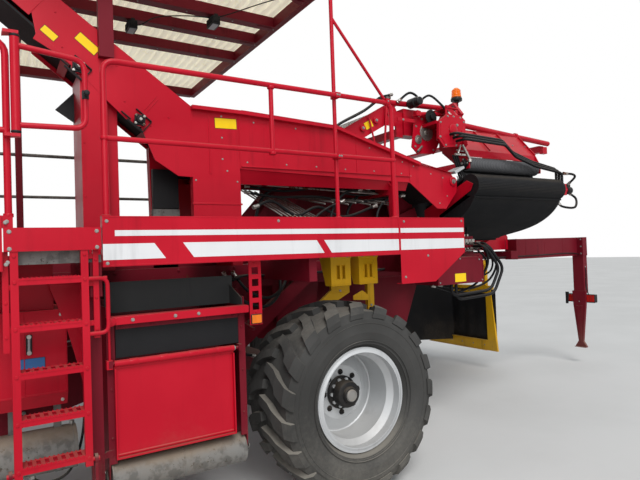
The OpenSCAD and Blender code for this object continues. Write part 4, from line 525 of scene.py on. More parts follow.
def hose(work, points, thick, fittings=None, sides=12):
    """A hose through the points, with crimped ends where fittings is another piece of work."""
    line = smooth_path(points, 6)
    work.tube([tuple(p) for p in line], thick, sides)
    if fittings is not None:
        for end, after in ((line[0], line[1]), (line[-1], line[-2])):
            way = (after - end).normalized()
            fittings.rod(tuple(end - way * 2), tuple(end + way * thick * 1.7), thick * 1.28, 12)
            fittings.rod(tuple(end - way * thick * 0.5), tuple(end + way * thick * 0.25), thick * 1.6, 6)


def flange_bearing(name, centre, direction, size, body="root", turned=0.0):
    """A cast flange bearing: square foot with four bolts, domed housing, greased shaft end."""
    foot = Work()
    side = Vector(direction).orthogonal().normalized()
    frame_turn = Matrix.Rotation(turned, 3, direction)
    other = direction.cross(side)
    corners = []
    for k in range(16):
        angle = 2 * math.pi * (k + 0.5) / 16
        reach = size * (0.62 if k % 4 in (1, 2) else 0.50)
        corners.append(frame_turn @ (reach * (math.cos(angle) * side + math.sin(angle) * other)))
    low = [foot.mesh.verts.new(at(*(Vector(centre) + c))) for c in corners]
    high = [foot.mesh.verts.new(at(*(Vector(centre) + 0.94 * c + direction * size * 0.14))) for c in corners]
    foot.mesh.faces.new(low)
    foot.mesh.faces.new(list(reversed(high)))
    for i in range(16):
        j = (i + 1) % 16
        foot.mesh.faces.new((low[j], low[i], high[i], high[j]))
    dome = ((0.36, 0.12), (0.34, 0.26), (0.28, 0.33), (0.17, 0.35))
    foot.turned([(size * wide, size * tall) for wide, tall in dome], centre, direction, 28)
    foot.done(f"{name}_foot", "black_paint", body, bevel=1.2)
    shiny = Work()
    for k in range(4):
        angle = math.pi / 2 * k + math.pi / 4 + turned
        way = math.cos(angle) * side + math.sin(angle) * other
        shiny.bolt(Vector(centre) + way * size * 0.5 + direction * size * 0.13, direction, size * 0.13)
    shiny.rod(tuple(Vector(centre)), tuple(Vector(centre) + direction * size * 0.44), size * 0.26, 20)
    shiny.done(f"{name}_shaft", "bare_steel", body, bevel=0.8)


# ---------------------------------------------------------------- left side panel


STRIPES = {
    "thin_stripe_front": [(1600, 1853), (1600, 1822), (-376, 1817), (-376, 1851)],
    "thin_stripe_rear": [(-394, 1851), (-394, 1817), (-1053, 1816), (-1053, 1850)],
    "thick_stripe_front": [(1662, 1780), (1392, 1780), (1330, 1694), (1662, 1694)],
    "thick_stripe_middle": [(1230, 1780), (330, 1776), (272, 1690), (1168, 1694)],
    "thick_stripe_rear": [(272, 1776), (-376, 1770), (-376, 1690), (214, 1690)],
    "thick_stripe_end": [(-394, 1770), (-1053, 1766), (-1053, 1690), (-394, 1690)],
}


def left_side_panel():
    """The panel's white stripes of film, its joint, lips and bolts, and the tread plate behind its top."""
    for name, outline in STRIPES.items():
        film = Work()
        film.plate(outline, "y", SIDE, SIDE + 0.8)
        film.done(name, "white_stripe", bevel=0, slot="red_paint")
    work = Work()
    # lap joint of the two sheets and the pressed lower edge
    joint = [(-376, 1662), (-376, 1926), (-394, 1926), (-394, 1446), (-388, 1446), (-388, 1662)]
    work.plate(joint, "y", SIDE, SIDE + 2.4)
    work.plate([(1655, 1660), (-374, 1660), (-374, 1668), (1655, 1668)], "y", SIDE - 1, SIDE + 2)
    work.plate([(1655, 1922), (-1055, 1922), (-1055, 1929), (1655, 1929)], "y", SIDE - 1, SIDE + 1.6)
    work.done("panel_joint", "red_paint", bevel=0.6)
    fixings = Work()
    fixings.bolts([(-660, 1640), (-431, 1489), (-431, 1900), (1640, 1902), (1640, 1676), (610, 1904), (-1030, 1904),
                   (2105, 1690), (2105, 1895), (2270, 1690), (2270, 1895)], SIDE, 11)
    fixings.bolts([(1690, 1765), (1690, 1850), (2090, 1765), (2090, 1850)], 1598, 12)
    fixings.done("panel_bolts", "dull_zinc", bevel=0.6)
    # tread plate's raised pattern behind the ladder's top
    tread = Work()
    for row in range(5):
        for step in range(16):
            x, y = 1720 + step * 21, 1350 + row * 26
            tread.plate([(x, y), (x + 4, y + 9), (x, y + 18), (x - 4, y + 9)], "z", FLOOR, FLOOR + 2)
    tread.done("tread_pattern", "grey_paint", bevel=0)


def side_marker():
    """The amber reflector in its dark rim and the bolts of the perforated strip that carries it."""
    rim, lens, bolts = Work(), Work(), Work()
    rim.block((704, 1506, 1256), (780, 1513, 1318))
    rim.done("side_reflector_rim", "lamp_black", bevel=2)
    lens.block((709, 1506, 1261), (775, 1517, 1313))
    lens.done("side_reflector_lens", "amber_lens", bevel=2)
    bolts.bolts([(742, 1640), (742, 1332)], 1506, 10)
    bolts.done("marker_bolts", "red_paint", bevel=0.5)


# ---------------------------------------------------------------- wheels


def wheel(side):
    """Hub, nuts, cap, valve and the rim's welded ring of one wheel."""
    name, out = ("left", LEFT) if side > 0 else ("right", -LEFT)
    body, centre = f"wheel_{name}", Vector((0, side * 1340, 665))
    hub = Work()
    hub.turned([
        (120, -13), (120, 4), (114, 9), (100, 13), (95, 20), (95, 84), (91, 92), (82, 97), (60, 99), (56, 104),
        (55, 116), (50, 121), (0, 122),
    ], centre, out, 56)
    hub.done(f"hub_{name}", "black_paint", body, bevel=0)
    nuts = Work()
    bolt_ring(nuts, centre + out * -12, out, 146, 8, 24)
    side_way = out.orthogonal().normalized()
    other = out.cross(side_way)
    for k in range(8):
        angle = 2 * math.pi * k / 8
        place = centre + 146 * (math.cos(angle) * side_way + math.sin(angle) * other)
        nuts.rod(tuple(place - out * 8), tuple(place + out * 14), 14, 12)
    bolt_ring(nuts, centre + out * 93, out, 72, 6, 9, 0.3)
    nuts.done(f"wheel_nuts_{name}", "black_paint", body, bevel=0.8)
    cap = Work()
    cap.turned([(43, 120), (43, 130), (38, 136), (34, 136), (32, 132), (14, 133), (0, 133)], centre, out, 40)
    cap.done(f"hub_cap_{name}", "dull_zinc", body, bevel=0)
    ring = Work()
    ring.turned([(324, 262), (334, 262), (340, 256), (352, 256), (352, 250), (338, 250), (332, 244), (324, 244)],
                centre, out, 96, closed=True)
    ring.turned([(291, -64), (284, -58), (281, -50), (284, -46), (291, -43)], centre, out, 96, closed=True)
    ring.turned([(202, -15), (196, -10), (190, -10), (190, -15)], centre, out, 64, closed=True)
    ring.done(f"rim_rings_{name}", "silver_paint", body, bevel=0, angle=50)
    valve = Work()
    root = centre + side_way * 262 + out * -52
    valve.rod(tuple(root), tuple(root + out * 46 + side_way * 14), 11, 12)
    valve.rod(tuple(root + out * 44 + side_way * 13), tuple(root + out * 66 + side_way * 19), 15, 12)
    valve.done(f"valve_{name}", "hose_rubber", body, bevel=0.5)
    # sidewall ribs and the bead's guard ribs
    walls = Work()
    for radius, up, wide in ((392, 281, 5), (408, 294, 3), (530, 299, 3)):
        for face in (1, -1):
            walls.turned([(radius - wide, face * (up - 5)), (radius - wide, face * up), (radius, face * (up + 2)),
                          (radius + wide, face * up), (radius + wide, face * (up - 5))], centre, out, 96, closed=True)
    walls.done(f"sidewall_ribs_{name}", "tread_rubber", body, bevel=0, angle=50)


# ---------------------------------------------------------------- railing, gate and ladder


def rail_fittings():
    """Weld collars of the left railing, clamps of the pole, caps and latch of the gate."""
    clamps = Work()
    for x, z in ((-372, 1932), (620, 2340), (2090, 1932), (2270, 1932), (-372, 2355), (1635, 2355), (620, 2765)):
        clamps.turned([(21, -10), (23, -7), (23, 7), (21, 10)], (x, RAIL, z), UP, 24)
    for x in (1635, -372):
        clamps.turned([(30, 0), (30, 5), (22, 8)], (x, RAIL, 1930), UP, 24)
    clamps.turned([(26, 0), (26, 5), (18, 8)], (105, 1530, 1930), UP, 24)
    # collars and end caps of the pole
    clamps.block((86, 1512, 2762), (124, 1588, 2798))
    clamps.block((86, 1512, 2338), (124, 1588, 2372))
    clamps.block((-352, 1540, 2768), (-318, 1590, 2806))
    clamps.done("rail_clamps", "red_paint", bevel=1.5)
    bolts = Work()
    bolts.bolts([(96, 2780), (114, 2780), (96, 2355), (114, 2355), (-335, 2787)], 1588, 9)
    bolts.bolts([(x, 1935) for x in (1622, 1648, -385, -359)], RAIL, 9, UP)
    bolts.bolts([(2098, z) for z in (1700, 1800, 1900)], 1592, 11)
    bolts.done("rail_bolts", "dull_zinc", bevel=0.5)
    caps = Work()
    for z, way in ((2345, -UP), (2812, UP)):
        caps.turned([(23, 0), (24, 6), (18, 14), (0, 16)], (2050, 1617, z), way, 24)
    caps.done("gate_caps", "black_paint", "gate", bevel=0)
    latch = Work()
    latch.rod((1732, 1617, 2560), (1732, 1660, 2560), 12, 12)
    latch.turned([(10, 0), (15, 4), (15, 16), (9, 22), (0, 23)], (1732, 1658, 2560), LEFT, 20)
    latch.block((1716, 1606, 2538), (1748, 1634, 2582))
    latch.done("gate_latch", "black_paint", "gate", bevel=1.5)


def toothed(start, first, count, low, high, end, foot):
    """The outline of a gripping edge with count teeth from first on, 21 mm apart."""
    outline = [start]
    for k in range(count):
        x = first + k * 21
        outline += [(x, low), (x + 4, high), (x + 9, high), (x + 13, low)]
    return outline + [(end, low), (end, foot), (start[0], foot)]


def ladder_fittings():
    """Teeth of the rungs and the folding step, bolts, and links to the posts."""
    teeth, bolts = Work(), Work()
    for rung in range(5):
        z = 690 + rung * 232
        outline = toothed((1774, z - 6), 1776, 14, z - 6, z + 5, 2060, z - 10)
        teeth.plate(outline, "y", 1589, 1592.5)
        teeth.plate(outline, "y", 1492, 1495)
        bolts.bolts([(1752, z - 18), (2072, z - 18)], 1592, 12)
    teeth.done("rung_teeth", "red_paint", bevel=0)
    bolts.bolts([(1752, 1730), (2072, 1730)], 1592, 12)
    bolts.bolts([(x, z) for x in (1694, 2110) for z in (1330, 1500, 1700)], 1564, 10)
    bolts.done("ladder_bolts", "red_paint", bevel=0.5)
    # links between the stiles and the posts beside them
    links = Work()
    for z in (1350, 1560, 1705):
        links.block((1706, 1545, z), (1736, 1558, z + 28))
        links.block((2088, 1545, z), (2098, 1558, z + 28))
    links.rod((1660, 1570, 1600), (1640, 1578, 1600), 22)
    links.done("ladder_links", "red_paint", bevel=1.5)
    step = Work()
    step.bolts([(1726, 400), (2094, 400)], 1600, 12)
    step.plate(toothed((1726, 414), 1728, 18, 412, 422, 2106, 408), "y", 1597, 1600.5)
    step.done("step_teeth", "dark_red_paint", "folding_step", bevel=0)


# ---------------------------------------------------------------- trash hopper


def trash_hopper_fittings():
    """Knuckles of the door, cover of the rail, rubber sheets, and the rims and bearings of the roller."""
    hinge, roller_line = (1476, 1118), (1385, 465)
    door = Work()
    # rolled lower edge and the hinge's knuckles
    door.plate([(1463, 600), (1469, 603), (1470, 611), (1464, 616)], "x", 900, 1588)
    for x in (960, 1130, 1300, 1470):
        door.turned([(19, 0), (19.5, 2), (19.5, 46), (19, 48)], (x, *hinge), FRONT, 24)
    door.done("door_edge", "red_paint", "trash_door", bevel=1)
    pins = Work()
    for x, way in ((888, -FRONT), (1606, FRONT)):
        pins.turned([(15, 0), (15, 6), (9, 10), (0, 10)], (x, *hinge), way, 16)
    pins.done("door_pins", "dull_zinc", "trash_door", bevel=0.5)
    # red cover of the rail, clamping strip over the rubber flap
    rail = Work()
    rail.block((796, 1507, 1334), (1634, 1513, 1376))
    rail.block((796, 1440, 1373), (1634, 1513, 1379))
    rail.turned([(20, 0), (24, 4), (24, 14), (18, 18)], (1616, 1513, 1354), LEFT, 24)
    rail.rod((1622, 1482, 1118), (1622, 1482, 1330), 14, 12)
    rail.block((1606, 1452, 1090), (1640, 1492, 1140))
    rail.done("rail_cover", "red_paint", bevel=2)
    strip = Work()
    strip.block((850, 1456.3, 1304), (1582, 1460, 1328))
    strip.block((1606, 1446, 600), (1640, 1452, 640))
    strip.plate([(1640, 640), (1700, 600), (1700, 592), (1640, 600)], "y", 1440, 1452)
    strip.done("flap_strip", "dark_red_paint", bevel=1)
    bolts = Work()
    bolt_row(bolts, (880, 1460, 1316), (1552, 1460, 1316), 5, LEFT, 9)
    for x in (822, 1610):
        bolt_row(bolts, (x, 1450, 700), (x, 1450, 1240), 3, LEFT, 10)
    bolts.done("flap_bolts", "dark_red_paint", bevel=0.5)
    silver = Work()
    silver.bolts([(x, 1356) for x in (1120, 1260, 1500)], 1513, 12)
    silver.done("rail_bolts_low", "dull_zinc", bevel=0.5)
    # rubber sheets inside the hopper, above the rail
    inner = Work()
    inner.plate([(790, 1376), (790, 1560), (1600, 1560), (1600, 1376)], "y", 1230, 1236)
    inner.plate([(1240, 1376), (1440, 1376), (1440, 1420), (1240, 1500)], "x", 806, 812)
    inner.done("inner_flaps", "worn_rubber", bevel=0)
    # roller's end rims and welded band
    roller = Work()
    for x in (818, 1210, 1606):
        roller.turned([(90, -3), (92, -1), (92, 3), (90, 5)], (x, *roller_line), FRONT, 48, closed=True)
    roller.turned([(90, 0), (100, 0), (100, 8), (90, 8)], (1610, *roller_line), FRONT, 48, closed=True)
    roller.done("roller_rims", "grey_paint", bevel=0, angle=60)
    flange_bearing("roller_bearing", (1632, *roller_line), FRONT, 76)
    flange_bearing("roller_bearing_rear", (800, *roller_line), -FRONT, 76)


# ---------------------------------------------------------------- picking table and elevator


def decal(name, middle, wide, tall, tilt, y, material="blank_decal"):
    """A blank warning sign on a wall that faces left: a thin sheet with a dark border line."""
    x, z = middle
    for part, grow, lift, paint in (("back", 0, 0.7, "lamp_black"), ("sheet", -3, 1.1, material)):
        work = Work()
        corners = []
        for a, b in ((-1, -1), (1, -1), (1, 1), (-1, 1)):
            u, v = a * (wide / 2 + grow), b * (tall / 2 + grow)
            corners.append((x + u * math.cos(tilt) - v * math.sin(tilt), z + u * math.sin(tilt) + v * math.cos(tilt)))
        work.plate(corners, "y", y + 0.1, y + lift)
        work.done(f"{name}_{part}", paint, bevel=0, slot="red_paint")


def slope_strip(work, start, end, low, high, y0, y1):
    """A strip along the elevator's slope, between two distances from its foot and two heights square to it."""
    work.plate(
        [on_elevator(start, low), on_elevator(end, low), on_elevator(end, high), on_elevator(start, high)], "y", y0, y1
    )


def elevator_fittings():
    """Skirt, ribs and bolts of the elevator's left wall, its bearings, belt tighteners, motor, and black sheets:
    painted shade on the rear leg, and a flap under the slope.
    """
    lips = Work()
    # deeper skirt below the wall's edge, and the lip of the far wall
    skirt = [(139, -236), (290, -152), (340, -124), (430, -150), (520, -142), (640, -134), (800, -114), (960, -113),
             (1128, -142), (1140, -96), (60, -60)]
    lips.plate([(955, 2250), (1060, 2254)] + [on_elevator(*point) for point in skirt] + [(955, 2480)], "y", 996, 1001)
    slope_strip(lips, 1232, 1896, -46, 12, 996, 1001)
    # double rib square to the slope and the seams of the wall
    for start in (372, 392):
        slope_strip(lips, start, start + 5, -20, 112, WALL, WALL + 3)
    for start, low in ((1236, -30), (1640, 12)):
        slope_strip(lips, start, start + 5, low, 111, WALL, 1002.5)
    slope_strip(lips, 60, 1896, 112, 118, 600, 628)
    lips.done("elevator_lips", "red_paint", bevel=1)
    bolts = Work()
    spots = ((250, 60), (300, -70), (700, 90), (1150, 84), (1560, 90), (520, -60), (990, -60), (1800, 40))
    bolts.bolts([on_elevator(*spot) for spot in spots], WALL + 1, 8)
    bolts.bolts([(x, z) for z in (1770, 2100, 2440) for x in (1532, 1652)], 999, 9)
    bolts.done("elevator_bolts", "red_paint", bevel=0.5)
    for index, along in enumerate((376, 846)):
        x, z = on_elevator(along, -100)
        flange_bearing(f"elevator_bearing_{index}", (x, 1029, z), LEFT, 74, turned=SLOPE)
        slide = Work()
        slope_strip(slide, along - 62, along + 62, -152, -146, 1001, 1034)
        slope_strip(slide, along - 62, along + 62, -54, -48, 1001, 1020)
        slope_strip(slide, along - 66, along - 60, -152, -48, 1001, 1012)
        (low_x, low_z), (high_x, high_z) = on_elevator(along + 44, -132), on_elevator(along + 120, -132)
        slide.rod((low_x, 1014, low_z), (high_x, 1014, high_z), 11, 12)
        slide.done(f"belt_tightener_{index}", "black_paint", bevel=1)
    x, z = on_elevator(1790, 60)
    flange_bearing("elevator_head_bearing", (x, 1019, z), LEFT, 110, turned=SLOPE)
    # drive motor at the elevator's head
    motor = Work()
    motor.turned([(58, 0), (62, 8), (62, 70), (54, 80), (54, 128), (46, 138), (0, 140)], (x, 596, z), -LEFT, 32)
    motor.block((x - 40, 470, z + 30), (x + 40, 520, z + 74))
    motor.done("elevator_motor", "black_paint", bevel=2)
    decal("elevator_sign_high", on_elevator(905, 66), 150, 62, SLOPE, WALL)
    decal("elevator_sign_low", on_elevator(1090, -48), 100, 50, SLOPE, WALL)
    # column's folded edge and foot
    fold = Work()
    fold.block((1512, 999, 1740), (1520, 1008, 2700))
    fold.block((1424, 900, 1725), (1440, 1010, 1737))
    fold.block((1440, 999, 1725), (1690, 1040, 1735))
    fold.done("column_folds", "red_paint", bevel=1.5)
    # black sheet over the red rear leg, painted shade where the leg lies in shadow; its pale foot and the black flap
    # under the slope
    dark, pale = Work(), Work()
    dark.block((983, 690, 2050), (1168, 746, 2336))
    dark.plate([(1786, 2703), (1661, 2840), (1593, 2766), (1610, 2585)], "y", 700, 712)
    dark.done("elevator_shade_sheet_and_flap", "black_paint", bevel=2)
    pale.block((980, 690, 1735), (1171, 748, 2046))
    pale.done("elevator_leg_foot", "grey_paint", bevel=2)


def belt_surface():
    """Low cross ridges on the picking belt, on its feeding belt and on the elevator's belt."""
    ridges = Work()
    for k in range(56):
        x = -880 + k * 30
        ridges.block((x, -52, 2549), (x + 7, 972, 2552.5))
    for k in range(17):
        x, z = -1450 + k * 19.5, 2281 + k * 11.2
        ridges.block((x, -52, z - 4), (x + 6, 972, z + 2))
    for k in range(60):
        x, z = on_elevator(130 + k * 27, 79)
        ridges.rod((x, 640, z), (x, 972, z), 7, 6)
    ridges.done("belt_ridges", "belt_rubber", bevel=0)


def table_fittings():
    """Seams, lips and bolts of the picking table's left wall and the gussets of its portal."""
    work = Work()
    # seams, stiffening folds and top lips
    for x, low, high in ((820, 2280, 2744), (586, 2330, 2742), (-1052, 2300, 2490), (-470, 2345, 2640)):
        work.block((x, WALL, low), (x + 14, WALL + 4, high))
    for a, b in (((592, 2748), (-250, 2716)), ((-250, 2716), (-1146, 2470))):
        work.plate([(a[0], a[1] + 1), (a[0], a[1] + 5), (b[0], b[1] + 5), (b[0], b[1] + 1)], "y", WALL, WALL + 40)
    work.plate([(-1146, 2470), (-1146, 2474), (-1560, 2399), (-1560, 2395)], "y", WALL, WALL + 24)
    work.plate([(592, 2349), (592, 2341), (-1040, 2341), (-1040, 2349)], "y", WALL, WALL + 12)
    # angled end plate with its rounded eye
    work.turned([(44, 0), (44, 9), (40, 12)], (-1580, WALL, 2320), LEFT, 32)
    work.done("table_folds", "red_paint", bevel=1)
    bolts = Work()
    bolt_row(bolts, (734, WALL, 2390), (734, WALL, 2700), 3, LEFT, 8)
    bolts.bolts([(700, 2306), (211, 2378), (-341, 2372), (-945, 2366), (540, 2378), (-60, 2378), (-640, 2372),
                 (480, 2680), (120, 2668), (-240, 2655), (-600, 2570), (-960, 2470), (-1090, 2440), (-1052, 2350),
                 (-1300, 2380), (-1450, 2350), (-1500, 2180), (-1400, 2110)], WALL, 8)
    bolts.bolt((-1580, WALL + 12, 2320), LEFT, 26)
    bolts.bolts([(624, 1770), (936, 1770), (624, 2230), (936, 2230)], WALL, 8)
    bolts.done("table_bolts", "dull_zinc", bevel=0.5)
    decal("table_sign", (702, 2651), 170, 78, math.radians(-2), WALL)
    # portal leg's gussets and foot
    legs = Work()
    legs.plate([(-900, 1735), (-840, 1735), (-840, 1830)], "y", 966, 974)
    legs.plate([(-840, 2330), (-760, 2330), (-840, 2250)], "y", 966, 974)
    legs.block((-930, 930, 1725), (-810, 1010, 1737))
    legs.block((590, 990, 2060), (964, 1004, 2072))
    legs.done("portal_gussets", "red_paint", bevel=1.5)


def rods_below_table():
    """Rods of the web, pipes and hoses seen between the side panel and the table."""
    pipes, dark, ends = Work(), Work(), Work()
    ways = [
        ([(480, 820, 2180), (200, 800, 2150), (-180, 820, 2160), (-560, 810, 2120), (-980, 830, 2180)], 20),
        ([(460, 780, 2230), (120, 760, 2205), (-260, 770, 2240), (-640, 760, 2190), (-1010, 800, 2240)], 18),
        ([(430, 860, 2060), (260, 840, 2110), (60, 850, 2000), (-150, 860, 2070), (-420, 840, 1990),
          (-760, 850, 2090)], 24),
        ([(380, 720, 1900), (300, 730, 2140), (120, 720, 2250), (-140, 740, 2260)], 26),
        ([(-240, 860, 1820), (-300, 850, 2050), (-420, 860, 2190), (-600, 850, 2230)], 22),
        ([(-520, 700, 1850), (-560, 720, 2080), (-700, 730, 2210), (-920, 740, 2250)], 24),
        ([(-60, 900, 1790), (-90, 890, 1960), (-230, 880, 2060), (-380, 900, 2120)], 20),
        ([(-800, 880, 1800), (-760, 860, 1980), (-860, 850, 2130), (-1080, 860, 2190)], 22),
    ]
    for points, thick in ways:
        hose(dark, points, thick, ends, 10)
    for k in range(9):
        x = 420 - k * 52
        pipes.rod((x, 520, 2250 - k * 9), (x - 210, 900, 1990 - k * 7), 13, 10)
    for k in range(11):
        x = -60 - k * 78
        pipes.rod((x, 460, 2200), (x - 120, 920, 2090 + (k % 3) * 14), 13, 10)
    for k in range(4):
        pipes.rod((560, 640 + k * 46, 2290 - k * 12), (-1040, 660 + k * 44, 2250 - k * 18), 15, 10)
    dark.done("hoses_below_table", "hose_rubber", bevel=0)
    ends.done("hose_ends_below_table", "bare_steel", bevel=0.5)
    pipes.done("rods_below_table", "bare_steel", bevel=0)
    # chute plates behind them and the brackets that carry them
    brackets = Work()
    brackets.plate([(80, 1735), (60, 2400), (-1120, 2400), (-1500, 2120), (-1500, 1735)], "y", 190, 196)
    brackets.plate([(378, 2027), (176, 2243), (-220, 2255), (-79, 2030), (60, 1735), (590, 1735)], "y", 496, 502)
    brackets.plate([(-1560, 1735), (-1520, 2180), (-1120, 2290), (-1250, 1735)], "y", 520, 526)
    brackets.plate([(420, 1730), (500, 1730), (40, 2290), (-20, 2290)], "y", 560, 572)
    brackets.plate([(-300, 1730), (-200, 1730), (-640, 2290), (-720, 2290)], "y", 540, 552)
    for x in (300, -120, -540, -960):
        brackets.block((x, 690, 2235), (x + 26, 900, 2247))
    brackets.done("web_brackets", "dark_red_paint", bevel=1)


# ---------------------------------------------------------------- canopy


def canopy_fittings():
    """Bolts, lips and gussets of the roof's beams, the work lamps and their cable."""
    bolts = Work()
    for y in (1220, 620, 250, -230, -1530):
        for x in (90, 460, 840, 1210, 1590, 1930):
            bolts.bolt((x, y, 3714), UP, 9)
            if y < 1200:
                bolts.bolt((x, y, 3600), -UP, 8)
    bolts.done("canopy_bolts", "dull_zinc", bevel=0)
    lips = Work()
    for y in (1190, 590, 220, -260, -1560):
        lips.block((100, y - 14, 3600), (1910, y, 3604))
        lips.block((100, y + 60, 3600), (1910, y + 74, 3604))
    for x in (50, 1910):
        lips.block((x + 8, 1250, 3590), (x + 42, 1254, 3692))
    # corner plates and gussets under the beams
    for x in (110, 1760):
        for y in (1180, 640, 270):
            lips.plate([(x, y), (x + 140, y), (x, y - 70)], "z", 3596, 3600)
    lips.done("canopy_lips", "dark_red_paint", bevel=1)
    for index, (x, y) in enumerate(((1190, 250), (640, 620))):
        lamp_body, glass = Work(), Work()
        lamp_body.block((x - 49, y - 64, 3521), (x + 19, y + 64, 3528))
        lamp_body.block((x - 49, y - 64, 3524), (x - 45, y + 64, 3588))
        for k in range(5):
            lamp_body.block((x + 15, y - 52 + k * 24, 3532), (x + 23, y - 46 + k * 24, 3580))
        lamp_body.rod((x - 15, y - 66, 3552), (x - 15, y + 66, 3552), 12, 12)
        for ear in (y - 66, y + 66):
            lamp_body.plate([(x - 30, 3540), (x, 3540), (x, 3600), (x - 30, 3600)], "y", ear - 2, ear + 2)
        glass.block((x - 38, y - 54, 3517), (x + 10, y + 54, 3522))
        lamp_body.done(f"work_lamp_{index}", "lamp_black", bevel=1.5)
        glass.done(f"work_lamp_glass_{index}", "lamp_glass", bevel=1, slot="lamp_black")
    cable = Work()
    for points in (
        [(1190, 250, 3590), (1120, 300, 3560), (1020, 420, 3596), (830, 560, 3590), (640, 620, 3590)],
        [(640, 620, 3590), (560, 700, 3592), (300, 1150, 3596), (110, 1240, 3596)],
    ):
        hose(cable, points, 9, None, 8)
    cable.done("lamp_cable", "hose_rubber", bevel=0)


# ---------------------------------------------------------------- rear: cross belt, deflector and gears


def cross_belt_surface():
    """The cross belt's sagging return run, fine ridges all round it, and rows of fingers on top."""
    inner, outer = Vector((250, 1880)), Vector((1130, 2270))  # the two rollers, as (y, z)
    way = (outer - inner).normalized()
    square = Vector((-way.y, way.x))
    round_roller, length, sag = 109, (outer - inner).length, 118

    def below(share):
        drop = round_roller + 3 + 4 * sag * share**1.5 * (1 - share) ** 0.8
        return inner + way * (length * share) - square * drop

    work = Work()
    outline = [tuple(below(k / 26)) for k in range(27)]
    outline += [tuple(end - square * (round_roller - 2)) for end in (outer, inner)]
    work.plate(outline, "x", -2990, -1670)
    work.done("cross_belt_return", "belt_rubber", bevel=0, angle=50)
    ridges = Work()
    line = [(inner + way * (length * k / 100) + square * round_roller, square) for k in range(101)]
    for k in range(100):
        here, after = below(k / 100), below((k + 1) / 100)
        step = (after - here).normalized()
        line.append((here, Vector((step.y, -step.x))))
    for k in range(25):
        angle = math.pi * k / 24
        out = math.cos(angle) * square + math.sin(angle) * way
        line.append((outer + out * round_roller, out))
    for centre, out in line:
        side = Vector((-out.y, out.x))
        shape = ((-2.6, -1), (2.6, -1), (1.2, 2.4), (-1.2, 2.4))
        ridges.plate([tuple(centre + side * wide + out * tall) for wide, tall in shape], "x", -2992, -1668)
    ridges.done("cross_belt_ridges", "belt_rubber", bevel=0)
    fingers, tall = Work(), 62
    for row in range(17):
        base = inner + way * (20 + row * 56) + square * (round_roller - 2)
        middle = base + square * (tall / 2)
        for k in range(60):
            x = -2982 + k * 22 + (row % 2) * 11
            bmesh.ops.create_cone(
                fingers.mesh, cap_ends=False, segments=5, radius1=0.006, radius2=0.0035, depth=tall / 1000,
                matrix=Matrix.Translation(at(x, *middle)) @ turn_from(Vector((0, *square))),
            )
    fingers.done("cross_belt_fingers", "belt_rubber", bevel=0)


